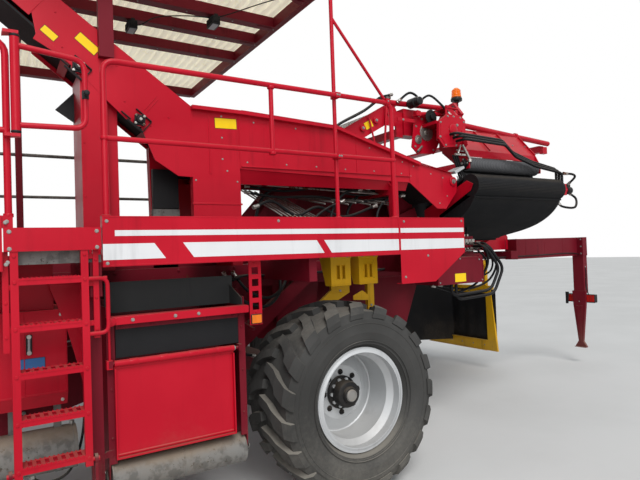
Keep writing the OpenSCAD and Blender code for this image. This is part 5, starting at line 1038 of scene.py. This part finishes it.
def deflector_fittings():
    """The bristle roller over the cross belt, its apron, hood, gear cover, motor, levers and scraper."""
    roller = Work()
    # grey bristle sleeves on the deflector roller
    for k in range(46):
        x = -2950 + k * 23.4
        roller.turned([(58, 0), (71, 3), (73, 9), (71, 15), (58, 18)], (x, 900, 2520), FRONT, 26, closed=True)
    roller.done("bristle_sleeves", "bristle_grey", bevel=0, angle=60, slot="belt_rubber")
    apron = Work()
    apron.plate([(840, 2600), (848, 2600), (880, 2290), (872, 2290)], "x", -2972, -1872)
    apron.done("roller_apron", "belt_rubber", bevel=0)
    work = Work()
    # hood's turned lips and stiffeners
    for x in (-1866, -2240, -2610, -2974):
        work.plate([(690, 2915), (900, 2676), (914, 2682), (702, 2930)], "x", x, x + 8)
    work.plate([(640, 2926), (684, 2926), (684, 2931), (640, 2931)], "x", -2978, -1862)
    work.plate([(894, 2600), (930, 2590), (931, 2595), (897, 2606)], "x", -2978, -1862)
    for x in (-1850, -3000):
        work.turned([(38, -6), (42, 0), (42, 26), (38, 32)], (x, 640, 3008 - (-1830 - x) * 0.0589), FRONT, 32)
    work.done("hood_lips", "red_paint", bevel=1)
    bolts = Work()
    bolt_row(bolts, (-1900, 800, 2790), (-2940, 800, 2790), 6, Vector((0, 0.75, 0.66)), 11)
    # gear cover's rim bolts
    bolts.bolts([(-1838, 2712), (-1838, 2930), (-1790, 2966), (-1700, 2970), (-1620, 2966), (-1522, 2900),
                 (-1512, 2760), (-1580, 2684), (-1720, 2690)], 930, 13)
    bolts.bolts([(-1740, 2890), (-1640, 2840), (-1700, 2790)], 934, 17)
    bolts.done("hood_bolts", "dull_zinc", bevel=0.5)
    cover = Work()
    cover.plate([(-1828, 2722), (-1828, 2936), (-1784, 2966), (-1628, 2966), (-1524, 2894), (-1516, 2754),
                 (-1572, 2690)], "y", 930, 934)
    cover.turned([(54, 0), (54, 10), (46, 16), (20, 18), (0, 18)], (-1680, 934, 2840), LEFT, 36)
    cover.block((-1800, 700, 3060), (-1640, 900, 3072))
    cover.plate([(-1790, 2990), (-1700, 3090), (-1640, 3090), (-1630, 2990)], "y", 880, 892)
    cover.plate([(-1850, 2940), (-1930, 3050), (-1930, 3110), (-1850, 3060)], "y", 760, 772)
    cover.done("gear_cover", "red_paint", bevel=1.5)
    dark = Work()
    # chain wheel, tightener and motor beside the gears
    dark.turned([(70, 0), (74, 6), (70, 12), (30, 14), (30, 40), (0, 40)], (-1560, 760, 2990), LEFT, 36)
    dark.turned([(44, 0), (48, 6), (48, 92), (40, 100), (40, 150), (30, 158), (0, 158)], (-1400, 640, 3130), LEFT, 28)
    dark.rod((-1980, 660, 3190), (-1880, 780, 3060), 22, 12)
    dark.rod((-2000, 700, 3010), (-1860, 720, 2880), 26, 12)
    dark.done("gear_motor", "black_paint", bevel=1.5)
    shiny = Work()
    # polished levers and rod below the cover
    shiny.rod((-1800, 940, 2700), (-1870, 960, 2560), 24, 14)
    shiny.rod((-1760, 950, 2690), (-1700, 970, 2600), 18, 12)
    shiny.turned([(20, 0), (20, 30), (0, 30)], (-1870, 960, 2560), -UP, 16)
    shiny.block((-1830, 930, 2590), (-1690, 950, 2610))
    shiny.rod((-1910, 900, 2640), (-1750, 905, 2650), 16, 12)
    shiny.done("adjusting_rods", "bare_steel", bevel=1)
    # pale scraper plate at the table's end
    pale = Work()
    pale.plate([(-1640, 2400), (-1760, 2460), (-1750, 2480), (-1620, 2424)], "y", 860, 990)
    pale.done("scraper_plate", "silver_paint", bevel=1)
    flange_bearing("deflector_bearing", (-1858, 900, 2520), FRONT, 92)


def drive_stack_fittings():
    """Web plate, chain wheels and tube between the haulm box and the deflector, and the flap at the table's end."""
    web = Work()
    web.plate([(-1350, 2690), (-1400, 2960), (-1520, 3030), (-1690, 2960), (-1740, 2780), (-1650, 2640),
               (-1420, 2630)], "y", 690, 698)
    web.block((-1700, 698, 2880), (-1640, 884, 2900))
    web.block((-1420, 698, 2930), (-1180, 706, 2966))
    web.rod((-1380, 730, 3010), (-1800, 760, 3044), 44, 20)
    for x in (-1440, -1600):
        web.plate([(x, 2990), (x + 60, 2990), (x + 52, 3044), (x + 8, 3040)], "y", 700, 760)
    web.done("drive_web", "red_paint", bevel=1.5)
    wheels = Work()
    wheels.turned([(0, 0), (84, 0), (84, 5), (70, 9), (30, 9), (30, 26), (0, 26)], (-1550, 700, 2850), LEFT, 40)
    wheels.turned([(0, 0), (44, 0), (44, 5), (20, 9), (20, 20), (0, 20)], (-1440, 700, 2770), LEFT, 32)
    wheels.rod((-1470, 716, 2700), (-1390, 740, 2640), 24, 12)
    for k in range(18):
        turn = 2 * math.pi * k / 18
        x, z = -1550 + 84 * math.cos(turn), 2850 + 84 * math.sin(turn)
        wheels.rod((x, 701, z), (x, 705, z), 13, 8)
    wheels.done("chain_wheels", "bare_steel", bevel=0)
    bolts = Work()
    bolts.bolts([(-1400, 2700), (-1420, 2900), (-1500, 2980), (-1660, 2930), (-1700, 2790), (-1640, 2680)], 698, 13)
    bolts.bolt((-1250, 706, 2948), LEFT, 13)
    bolts.done("drive_web_bolts", "dull_zinc", bevel=0)
    flap = Work()
    flap.plate([(-1480, 1990), (-1480, 2250), (-1790, 2250), (-1830, 1990)], "y", 526, 531)
    flap.done("table_end_flap", "belt_rubber", bevel=0)


def haulm_fittings():
    """Bosses, bolts, sign, hoses and rods of the inclined haulm web."""
    work, bolts = Work(), Work()
    work.block((-1240, 604, 2900), (-1100, 612, 3080))
    for share in (0.05, 0.35, 0.65, 0.95):
        x, z = -1180 + 540 * share, 3040 - 300 * share
        work.rod((x, 600, z), (x, 622, z), 60, 24)
        bolts.bolt((x, 622, z), LEFT, 17)
    work.done("haulm_bosses", "red_paint", bevel=1.5)
    bolts.done("haulm_bolts", "dull_zinc", bevel=0.5)
    decal("haulm_sign", (-908, 2888), 100, 74, math.radians(-29), 600)
    hoses, ends = Work(), Work()
    for thick, points in (
        (26, [(-1150, 620, 3170), (-1000, 640, 3120), (-820, 650, 3000), (-560, 640, 2860), (-420, 660, 2760)]),
        (22, [(-1150, 660, 3190), (-980, 680, 3130), (-800, 690, 2990), (-520, 690, 2840), (-400, 700, 2750)]),
        (24, [(-1250, 640, 3140), (-1340, 700, 3220), (-1440, 700, 3200), (-1440, 700, 3150)]),
        (22, [(-1460, 720, 3150), (-1520, 800, 3190), (-1620, 860, 3090), (-1690, 900, 2990)]),
    ):
        hose(hoses, points, thick, ends)
    hoses.done("haulm_hoses", "hose_rubber", bevel=0)
    ends.done("haulm_hose_ends", "bare_steel", bevel=0.5)
    pipes = Work()
    for k in range(5):
        pipes.rod((-1280, 560 - k * 60, 3120), (-640, 560 - k * 60, 2800), 14, 10)
    pipes.rod((-1120, 616, 3080), (-1050, 640, 2560), 22, 12)
    pipes.rod((-900, 616, 2960), (-980, 640, 2560), 18, 12)
    pipes.done("haulm_rods", "red_paint", bevel=0)


def cross_belt_drive():
    """Bearing, motor and motor hoses at the cross belt's outer roller."""
    flange_bearing("cross_belt_bearing", (-3014, 1130, 2270), -FRONT, 104)
    motor, ends = Work(), Work()
    motor.turned([(44, 0), (48, 8), (48, 30), (40, 36), (40, 92), (34, 100), (0, 101)], (-3140, 1130, 2270), -FRONT, 32)
    motor.block((-3214, 1108, 2306), (-3162, 1152, 2336))
    motor.done("cross_belt_motor", "black_paint", bevel=2)
    hoses = Work()
    hose(hoses, [(-3180, 1140, 2330), (-3190, 1220, 2400), (-3140, 1230, 2430), (-3050, 1190, 2440)], 24, ends)
    hose(hoses, [(-3210, 1120, 2250), (-3290, 1160, 2180), (-3200, 1200, 2080), (-3060, 1150, 2090),
                 (-3020, 1120, 2140)], 24, ends)
    hoses.done("motor_hoses", "hose_rubber", bevel=0)
    ends.done("motor_hose_ends", "bare_steel", bevel=0.5)


def beacon_fittings():
    """Socket, lens ribs and cable of the amber beacon."""
    base, lens = Work(), Work()
    base.turned([(64, -4), (66, 2), (66, 24), (60, 34), (58, 40)], (-2530, 200, 3416), UP, 40)
    base.turned([(20, 0), (34, 4), (34, 12), (20, 20)], (-2530, 200, 3392), UP, 28)
    base.done("beacon_base", "lamp_black", bevel=0)
    for k in range(5):
        rib = [(57 - k * 1.4, 0), (59.5 - k * 1.4, 3), (57 - k * 1.4, 6)]
        lens.turned(rib, (-2530, 200, 3458 + k * 18), UP, 40, closed=True)
    lens.done("beacon_ribs", "amber_lens", bevel=0)
    cable = Work()
    hose(cable, [(-2530, 222, 3390), (-2520, 232, 3300), (-2534, 228, 3100), (-2500, 240, 2910)], 9, None, 8)
    cable.done("beacon_cable", "hose_rubber", bevel=0)


# ---------------------------------------------------------------- frame, valves and wheel chocks


def underframe_fittings():
    """Flange bolts, cable tray and hoses of the left beam, plates and braces ahead of the wheel."""
    bolts = Work()
    bolts.bolts([(x, z) for x in (-2180, -1640, -1100, -560, 560, 1000, 1440) for z in (1462, 1598)], BEAM_OUT, 14)
    for y in (800, 1080, 1360, 1540):
        bolts.bolt((-1000, y, 1655), -FRONT, 11)
    bolts.done("frame_bolts", "dark_red_paint", bevel=0.5)
    welds = Work()
    for x in (-2240, -1290):
        welds.rod((x + 20, BEAM_OUT + 1, 1444), (x + 800, BEAM_OUT + 1, 1444), 9, 6)
    # cable tray and pipes along the left beam
    welds.block((-1180, 745, 1500), (640, 765, 1512))
    welds.block((-1180, 763, 1500), (640, 768, 1540))
    welds.done("beam_tray", "dark_red_paint", bevel=1)
    pipes, ends = Work(), Work()
    for k in range(4):
        y = 780 + k * 22
        hose(pipes, [(-1160, y, 1530 + k * 6), (-700, y - 4, 1516), (-200, y, 1530), (200, y - 4, 1512),
                     (560, y + 10, 1530), (900, 800 + k * 20, 1420 - k * 24)], 18, None, 8)
    for thick, points in (
        (24, [(600, 800, 1560), (520, 900, 1420), (360, 920, 1360), (200, 860, 1440), (120, 780, 1560)]),
        (24, [(680, 820, 1560), (620, 940, 1380), (420, 960, 1300), (260, 900, 1390), (190, 780, 1560)]),
        (22, [(760, 840, 1500), (700, 900, 1200), (600, 860, 980), (430, 760, 900)]),
    ):
        hose(pipes, points, thick, ends)
    pipes.done("beam_hoses", "hose_rubber", bevel=0)
    ends.done("beam_hose_ends", "bare_steel", bevel=0.5)
    plates = Work()
    plates.plate([(620, 1438), (300, 1000), (-500, 900), (-1300, 960), (-1500, 1438)], "y", 571, 578)
    plates.plate([(640, 1180), (640, 1715), (2320, 1715), (2320, 1180)], "y", 682, 690)
    plates.plate([(700, 1440), (640, 1440), (470, 1120), (470, 1060), (520, 1060)], "y", 800, 812)
    plates.plate([(940, 1400), (860, 1400), (640, 1010), (640, 930), (700, 930)], "y", 900, 912)
    for k in range(3):
        plates.rod((900 - k * 90, 640, 1430 - k * 60), (700 - k * 90, 980, 1300 - k * 80), 26, 12)
    plates.done("brace_plates", "dark_red_paint", bevel=2)


def chock_fittings():
    """Folds, slots and bolts of the wheel chocks' carriers and of the yellow guard."""
    work, bolts = Work(), Work()
    for x in (-386, -132):
        work.block((x - 6, 1319, 1640), (x + 182, 1325, 1682))
        work.plate([(x + 4, 1446), (x + 172, 1446), (x + 172, 1452), (x + 4, 1452)], "y", 1318, 1324)
        for cut in (52, 100):
            work.block((x + cut - 5, 1318, 1482), (x + cut, 1324, 1600))
            work.block((x + cut + 24, 1318, 1482), (x + cut + 29, 1324, 1600))
        for k in range(7):
            work.block((x + 6 + k * 24, 1236, 1437), (x + 20 + k * 24, 1320, 1441))
        bolts.bolts([(x + 30, 1660), (x + 146, 1660)], 1325, 14)
    work.done("chock_folds", "yellow_paint", bevel=1.5)
    bolts.done("chock_bolts", "dull_zinc", bevel=0.5)
    guard, fixings = Work(), Work()
    guard.block((-516, 739, 1336), (-330, 744, 1348))
    guard.block((-786, 739, 1140), (-724, 752, 1152))
    guard.plate([(-700, 1300), (-640, 1340), (-540, 1300), (-540, 1262), (-700, 1250)], "y", 760, 768)
    guard.done("guard_folds", "yellow_paint", bevel=1.5)
    fixings.bolts([(-490, 1410), (-360, 1410), (-420, 1350)], 740, 13)
    fixings.bolts([(-755, 1400), (-755, 1200)], 741, 13)
    fixings.done("guard_bolts", "dull_zinc", bevel=0.5)


def valve_fittings():
    """Sections, levers and hoses of the valve block, and the border and bolts of the box behind the wheel."""
    levers, steel, ends = Work(), Work(), Work()
    for i in range(5):
        x = -1965 + 45 * i
        steel.block((x - 18, 858, 1650), (x + 18, 876, 1770))
        steel.turned([(11, 0), (11, 22), (0, 22)], (x, 800, 1800), UP, 14)
        levers.rod((x, 800, 1820), (x + 6, 806, 1896), 9, 8)
        levers.turned([(7, 0), (13, 8), (15, 18), (12, 28), (0, 32)], (x + 6, 806, 1890), UP, 16)
        for z in (1676, 1730):
            steel.rod((x, 872, z), (x, 930, z), 22, 6)
        levers.block((x - 19, 878, 1690), (x + 19, 900, 1716))
    levers.done("valve_levers", "lamp_black", bevel=1)
    steel.done("valve_bodies", "bare_steel", bevel=1)
    hoses = Work()
    for i in (0, 2):
        x = -1965 + 45 * i
        hose(hoses, [(x, 930, 1730), (x - 6, 1020, 1720), (x - 70, 1060, 1640), (x - 130 + i * 20, 1040, 1500),
                     (x - 90 + i * 30, 980, 1360), (x + 20, 900, 1290), (x + 180, 860, 1280 - i * 12),
                     (x + 420, 800, 1330)], 21, ends, 10)
        hose(hoses, [(x, 930, 1676), (x - 12, 990, 1660), (x - 110, 1010, 1560), (x - 130, 960, 1440),
                     (x - 40, 860, 1390), (x + 70, 790, 1440)], 19, ends, 10)
    for i in range(3):
        hose(hoses, [(-1960 + i * 40, 780, 1800), (-1990 + i * 40, 790, 1960), (-1960 + i * 40, 840, 2200),
                     (-1850 + i * 30, 880, 2420), (-1760 + i * 30, 900, 2600)], 20, None, 10)
    hoses.done("valve_hoses", "hose_rubber", bevel=0)
    ends.done("valve_hose_ends", "bare_steel", bevel=0.5)
    box, bolts = Work(), Work()
    box.plate([(-1897, 1353), (-1897, 1558), (-1849, 1597), (-1293, 1597), (-1293, 1353), (-1305, 1353), (-1305, 1585),
               (-1845, 1585), (-1885, 1552), (-1885, 1353)], "y", 1050, 1053)
    box.block((-1250, 1046, 1400), (-1200, 1050, 1500))
    box.done("box_border", "dark_red_paint", bevel=1)
    bolts.bolts([(-1875, 1372), (-1580, 1585), (-1315, 1580), (-1315, 1372), (-1840, 1570)], 1052, 10)
    bolts.done("box_bolts", "dull_zinc", bevel=0.5)
    decal("box_sign", (-1580, 1408), 150, 84, 0.0, 1050)


# ---------------------------------------------------------------- light carrier and curtain


def light_carrier_fittings():
    """Rear lamps, markers, lips, bolts and cable of the light carrier."""
    amber, black, red = Work(), Work(), Work()
    for y in (-40, 260):
        black.block((-4970, y - 62, 846), (-4962, y + 62, 964))
        for k in range(3):
            red.block((-5031, y - 54 + k * 38, 858), (-5026, y - 22 + k * 38, 952))
            red.block((-4967, y - 54 + k * 38, 858), (-4958, y - 22 + k * 38, 952))
    black.plate([(-55, 820), (-95, 820), (-95, 990), (-40, 990)], "x", -4930, -4924)
    black.done("rear_lamp_backs", "lamp_black", bevel=1.5)
    red.done("rear_lamp_lenses", "red_lens", bevel=1.5, slot="lamp_black")
    for z in (1560, 1700):
        amber.block((-5034, 60, z), (-5030, 160, z + 46))
    amber.done("rear_markers", "amber_lens", bevel=1.2)
    steel = Work()
    for z in (1540, 1640, 1740):
        for y in (50, 170):
            steel.bolt((-4930, y, z), FRONT, 13)
    steel.bolts([(x, z) for x in (-2330, -2300) for z in (1540, 1740)], 200, 13)
    steel.bolts([(-4985, z) for z in (1050, 1200, 1350)], 190, 12)
    for z in (340, 600, 860):
        steel.bolt((-4930, 110, z), FRONT, 11)
    steel.done("carrier_bolts", "dull_zinc", bevel=0.5)
    plates = Work()
    # slots and lips of the leg's bracket, foot's turned edge, beam's ribs
    for z in (1100, 1250, 1400):
        plates.block((-5020, 189, z), (-4950, 194, z + 12))
    plates.block((-4930, 28, 214), (-4900, 192, 222))
    plates.plate([(120, 300), (100, 300), (60, 800), (160, 800)], "x", -4930, -4922)
    for x in (-4600, -4200, -3800, -3400, -3000, -2600):
        plates.block((x, 112, 1514), (x + 10, 116, 1766))
    plates.done("carrier_lips", "dark_red_paint", bevel=1.5)
    cable = Work()
    hose(cable, [(-2320, 116, 1560), (-3000, 122, 1548), (-3900, 122, 1546), (-4800, 122, 1550), (-4960, 150, 1480),
                 (-4984, 196, 1300), (-4970, 200, 1100), (-4966, 230, 960)], 13, None, 8)
    cable.done("carrier_cable", "hose_rubber", bevel=0)


def curtain_fittings():
    """Soft folds in the hanging rubber, the clamping strip over it, its bolts, and a black sheet under the belly that
    is painted shade.
    """
    folds, width, columns, rows = Work(), 1260, 74, []
    for j in range(9):
        row = []
        for k in range(columns + 1):
            wave = 5.5 * math.sin(k * 0.55 + j * 0.12) * (0.25 + j / 9) + 2.5 * math.sin(k * 0.21 + j * 0.5)
            row.append(folds.mesh.verts.new(at(-3682 + wave * 0.8, -1598 + k * (width / columns), 1088 - j * 86)))
        rows.append(row)
    for low, high in zip(rows, rows[1:]):
        for k in range(columns):
            folds.mesh.faces.new((low[k], low[k + 1], high[k + 1], high[k]))
    sheet = folds.done("curtain_folds", "belt_rubber", bevel=0, angle=80)
    thick = sheet.modifiers.new("sheet", "SOLIDIFY")
    thick.thickness = 0.004
    # painted shade: a black sheet that darkens the shaded underside seen past the wheel
    apron = Work()
    sheet_outline = [(-3690, 1130), (-3690, 330), (-2500, 430), (-2080, 560), (-2080, 1440), (-3230, 1440)]
    apron.plate(sheet_outline, "y", -1116, -1110)
    apron.done("belly_shade_sheet", "belt_rubber", bevel=0)
    strip, bolts = Work(), Work()
    strip.block((-3676, -1595, 1040), (-3670, -400, 1088))
    strip.block((-3660, -1600, 384), (-3640, -470, 392))
    strip.block((-3660, -1600, 248), (-3640, -470, 254))
    strip.done("curtain_strip", "yellow_paint", bevel=1)
    bolt_row(bolts, (-3670, -1540, 1064), (-3670, -460, 1064), 8, FRONT, 13)
    bolt_row(bolts, (-3660, -1540, 320), (-3660, -520, 320), 6, FRONT, 11)
    bolts.done("curtain_bolts", "dull_zinc", bevel=0.5)


# ---------------------------------------------------------------- tanks


def tank_fittings():
    """Gauge, seams and sign of the oil tank, straps and ports of the air tank, and the plate beside them."""
    gauge, glass, steel = Work(), Work(), Work()
    front, air_line = 1180, (960, 560)  # left face of the oil tank, and the air tank's middle line
    gauge.block((1978, front, 1178), (2010, 1185, 1288))
    glass.turned([(7, 0), (7, 84), (0, 84)], (1994, 1189, 1192), UP, 16)
    for z in (1188, 1278):
        steel.turned([(12, 0), (12, 12), (0, 12)], (1994, 1185, z), LEFT, 16)
    # filler neck with its cap and the drain plug
    steel.turned([(34, 0), (34, 40), (28, 44), (28, 60)], (1900, 1000, 1416), UP, 28)
    steel.bolts([(1830, 900), (2200, 960), (1830, 1390), (2200, 1390)], front, 11)
    steel.bolt((2000, 960, 860), -UP, 24)
    gauge.turned([(42, 0), (44, 6), (44, 26), (36, 32), (0, 34)], (1900, 1000, 1474), UP, 32)
    gauge.done("gauge_back", "lamp_black", bevel=1)
    glass.done("gauge_glass", "lamp_glass", bevel=0, slot="lamp_black")
    steel.done("tank_fittings", "bare_steel", bevel=0.5)
    seams = Work()
    for x in (1806, 2016, 2220):
        seams.block((x, front, 945), (x + 5, front + 3, 1418))
    seams.plate([(1802, 943), (2228, 943), (2228, 951), (1802, 951)], "y", front, front + 3)
    seams.done("tank_seams", "red_paint", bevel=1)
    decal("tank_sign", (1981, 1113), 134, 88, 0.0, front, "blue_decal")
    straps, fixings = Work(), Work()
    for x in (1820, 2060):
        straps.turned([(130, 0), (133.5, 0), (133.5, 40), (130, 40)], (x, *air_line), FRONT, 64, closed=True)
    for x in (1762, 2158):
        straps.turned([(130, -3), (132.5, 0), (130, 3)], (x, *air_line), FRONT, 64, closed=True)
    straps.done("air_tank_straps", "grey_paint", bevel=0)
    fixings.rod((1980, 960, 430), (1980, 960, 408), 34, 6)
    fixings.rod((2180, 960, 560), (2204, 960, 560), 40, 6)
    fixings.rod((1760, 960, 690), (1760, 960, 712), 30, 6)
    fixings.done("air_tank_ports", "bare_steel", bevel=0.5)
    lines = Work()
    for points in (
        [(2204, 960, 560), (2250, 970, 640), (2240, 980, 860), (2160, 900, 1000), (2100, 770, 1100)],
        [(1980, 960, 408), (1900, 1000, 380), (1780, 1010, 430), (1700, 960, 620), (1660, 820, 900)],
    ):
        hose(lines, points, 16, None, 8)
    lines.done("air_lines", "hose_rubber", bevel=0)
    # diagonal red plate between the tank and the hopper
    brace = Work()
    outline = [(1890, 1563), (1700, 1563), (1606, 960), (1606, 730), (1662, 730), (1700, 900), (1800, 1300)]
    brace.plate(outline, "y", 1192, 1204)
    brace.plate([(1890, 1563), (1700, 1563), (1700, 1571), (1890, 1571)], "y", 1120, 1204)
    brace.done("ladder_brace", "red_paint", bevel=1.5)


# ---------------------------------------------------------------- bunker, boom, drawbar and digging unit


def bunker_fittings():
    """Turned rims, ribs, bolts and sieve rods of the bunker."""
    lips, bolts = Work(), Work()
    for x in (2326, 4736):
        lips.block((x, -1500, 3078), (x + 48, 1052, 3086))
    lips.block((2330, -1506, 3078), (4780, -1458, 3086))
    for y in (-1100, -500, 100, 700):
        lips.plate([(y, 1700), (y + 40, 1700), (y + 40, 3040), (y, 3040)], "x", 2319, 2331)
    for x in range(2480, 4700, 440):
        lips.plate([(-1500, 2420), (-1500, 3040), (-1508, 3040), (-1508, 2420)], "x", x, x + 40)
        lips.plate([(-1500, 2400), (-1508, 2404), (-1172, 1700), (-1162, 1700)], "x", x, x + 40)
    lips.done("bunker_folds", "red_paint", bevel=2)
    for y in (-1380, -840, -240, 360, 960):
        for z in (2330, 3050):
            bolts.bolt((4840, y, z), FRONT, 16)
    bolts.bolts([(x, z) for x in (2390, 2940, 3490, 4040, 4590) for z in (3000, 2460)], -1506, 15, -LEFT)
    for z in (1760, 2300, 2960):
        bolts.bolt((2330, 1010, z), -FRONT, 15)
    bolts.done("bunker_bolts", "dull_zinc", bevel=0.5)
    sieve = Work()
    for k in range(13):
        z = 1800 + k * 42
        sieve.rod((4736, -1080, z), (4736, 980, z), 10, 8)
    sieve.done("bunker_sieve", "bare_steel", bevel=0)


def boom_fittings():
    """Ribs, bolts, hoses and motor of the folded overloading boom."""
    work, bolts = Work(), Work()
    y = 1285  # outer face of the folded boom
    for x in range(2560, 4700, 420):
        work.block((x, y, 1700), (x + 44, y + 7, 3330))
    for z in (1700, 2360, 3290):
        work.block((2372, y, z), (4738, y + 5, z + 40))
    work.block((2372, 1060, 3438), (4738, 1225, 3444))
    work.done("boom_ribs", "red_paint", "boom", bevel=2)
    bolts.bolts([(x, z) for x in range(2470, 4700, 210) for z in (1720, 2380, 3310)], y + 5, 12)
    for x, way in ((2367, -FRONT), (4743, FRONT)):
        for z in (1780, 2500, 3300):
            bolts.bolt((x, 1180, z), way, 14)
    bolts.done("boom_bolts", "dull_zinc", "boom", bevel=0.5)
    lines = Work()
    for back in (0, 40):
        hose(lines, [(4700 - back, 1292, 1760), (4690 - back, 1296, 2300), (4600 - back, 1296, 2900),
                     (4620 - back, 1296, 3250)], 22, None, 10)
    lines.done("boom_hoses", "hose_rubber", "boom", bevel=0)
    motor = Work()
    motor.turned([(48, 0), (52, 6), (52, 60), (44, 70), (44, 104), (36, 112), (0, 112)], (4740, 1160, 3360), FRONT, 28)
    motor.done("boom_motor", "black_paint", "boom", bevel=0)


PIVOT = (4450, 690, 900)
DRAWBAR_TURN = math.atan2(PIVOT[1], HITCH_X - PIVOT[0])


def drawbar_place(along, aside, up):
    """A place along the drawbar from its pivot, aside to its left and up from its middle line."""
    return (
        PIVOT[0] + along * math.cos(DRAWBAR_TURN) + aside * math.sin(DRAWBAR_TURN),
        PIVOT[1] - along * math.sin(DRAWBAR_TURN) + aside * math.cos(DRAWBAR_TURN),
        PIVOT[2] + up,
    )


def drawbar_fittings():
    """Hoses, clamps and bolts on the drawbar, and the crank of its jack."""
    hoses, ends, plates, bolts = Work(), Work(), Work(), Work()
    for k in range(4):
        aside = -40 + k * 26
        route = ((60, aside, 96), (500, aside, 104), (1000, aside, 102), (1240, -36 + k * 24, 240),
                 (1285, -60 + k * 40, 432))
        points = [drawbar_place(*spot) for spot in route]
        hose(hoses, points, 20, ends, 10)
        x, y, z = points[-1]
        ends.rod((x, y, z), (x, y, z + 44), 26, 12)
    for along in (300, 700, 1050):
        strap = ((along, -56), (along + 40, -56), (along + 40, 56), (along, 56))
        plates.plate([drawbar_place(*spot, 90)[:2] for spot in strap], "z", 990, 993)
        for aside in (-64, 64):
            bolts.bolt(drawbar_place(along + 20, aside * 0.9, 90), UP, 12)
    plates.turned([(60, 0), (60, 12), (44, 18), (0, 18)], drawbar_place(0, 0, 91), UP, 36)
    bolt_ring(bolts, drawbar_place(0, 0, 101), UP, 48, 4, 12, 0.4)
    plates.turned([(52, 48), (56, 50), (56, 54), (52, 56)], drawbar_place(2068, 0, -470), UP, 32, closed=True)
    hoses.done("drawbar_hoses", "hose_rubber", "drawbar", bevel=0)
    ends.done("drawbar_hose_ends", "bare_steel", "drawbar", bevel=0.5)
    plates.done("drawbar_clamps", "red_paint", "drawbar", bevel=1)
    bolts.done("drawbar_bolts", "dull_zinc", "drawbar", bevel=0.5)
    crank = Work()
    x, y, z = drawbar_place(1150, 179, 320)
    crank.turned([(34, 0), (36, 4), (30, 14), (14, 18), (14, 34), (0, 34)], (x, y, z), UP, 28)
    crank.rod((x, y, z + 28), (x + 90, y, z + 34), 14, 12)
    crank.rod((x + 88, y, z + 28), (x + 88, y, z + 96), 22, 14)
    crank.done("jack_crank", "black_paint", "jack", bevel=1)


def digging_fittings():
    """Bolts of the digging unit's walls, nuts of the disc coulters and rings of the diabolo rollers."""
    bolts, folds = Work(), Work()
    spots = [(1200, 960), (1600, 820), (2000, 700), (2400, 590), (2800, 480), (3180, 420), (3180, 850), (3600, 1060),
             (3800, 1060), (3700, 1180)]
    bolts.bolts(spots, 552, 15)
    bolts.bolts(spots, -952, 15, -LEFT)
    bolts.done("digging_bolts", "dull_zinc", "digging_unit", bevel=0.5)
    folds.block((3705, -940, 1184), (3785, 540, 1190))
    folds.done("digging_folds", "dark_red_paint", "digging_unit", bevel=1)
    nuts = Work()
    for y, way in ((521, LEFT), (-923, -LEFT)):
        bolt_ring(nuts, (3310, y, 650), way, 56, 5, 14)
    nuts.done("disc_nuts", "dull_zinc", "disc_coulters", bevel=0.5)
    rings = Work()
    for middle in (-575, 175):
        for up in (-262, 262):
            rim = [(306, up - 14), (311.5, up - 10), (311.5, up + 10), (306, up + 14)]
            rings.turned(rim, (3730, middle, 790), LEFT, 64, closed=True)
    rings.done("diabolo_rings", "grey_paint", "diabolo_rollers", bevel=0)


# ---------------------------------------------------------------- everything set in place

left_side_panel()
side_marker()
wheel(1)
wheel(-1)
rail_fittings()
ladder_fittings()
trash_hopper_fittings()
elevator_fittings()
belt_surface()
table_fittings()
rods_below_table()
canopy_fittings()
cross_belt_surface()
deflector_fittings()
drive_stack_fittings()
haulm_fittings()
cross_belt_drive()
beacon_fittings()
underframe_fittings()
chock_fittings()
valve_fittings()
light_carrier_fittings()
curtain_fittings()
tank_fittings()
bunker_fittings()
boom_fittings()
drawbar_fittings()
digging_fittings()
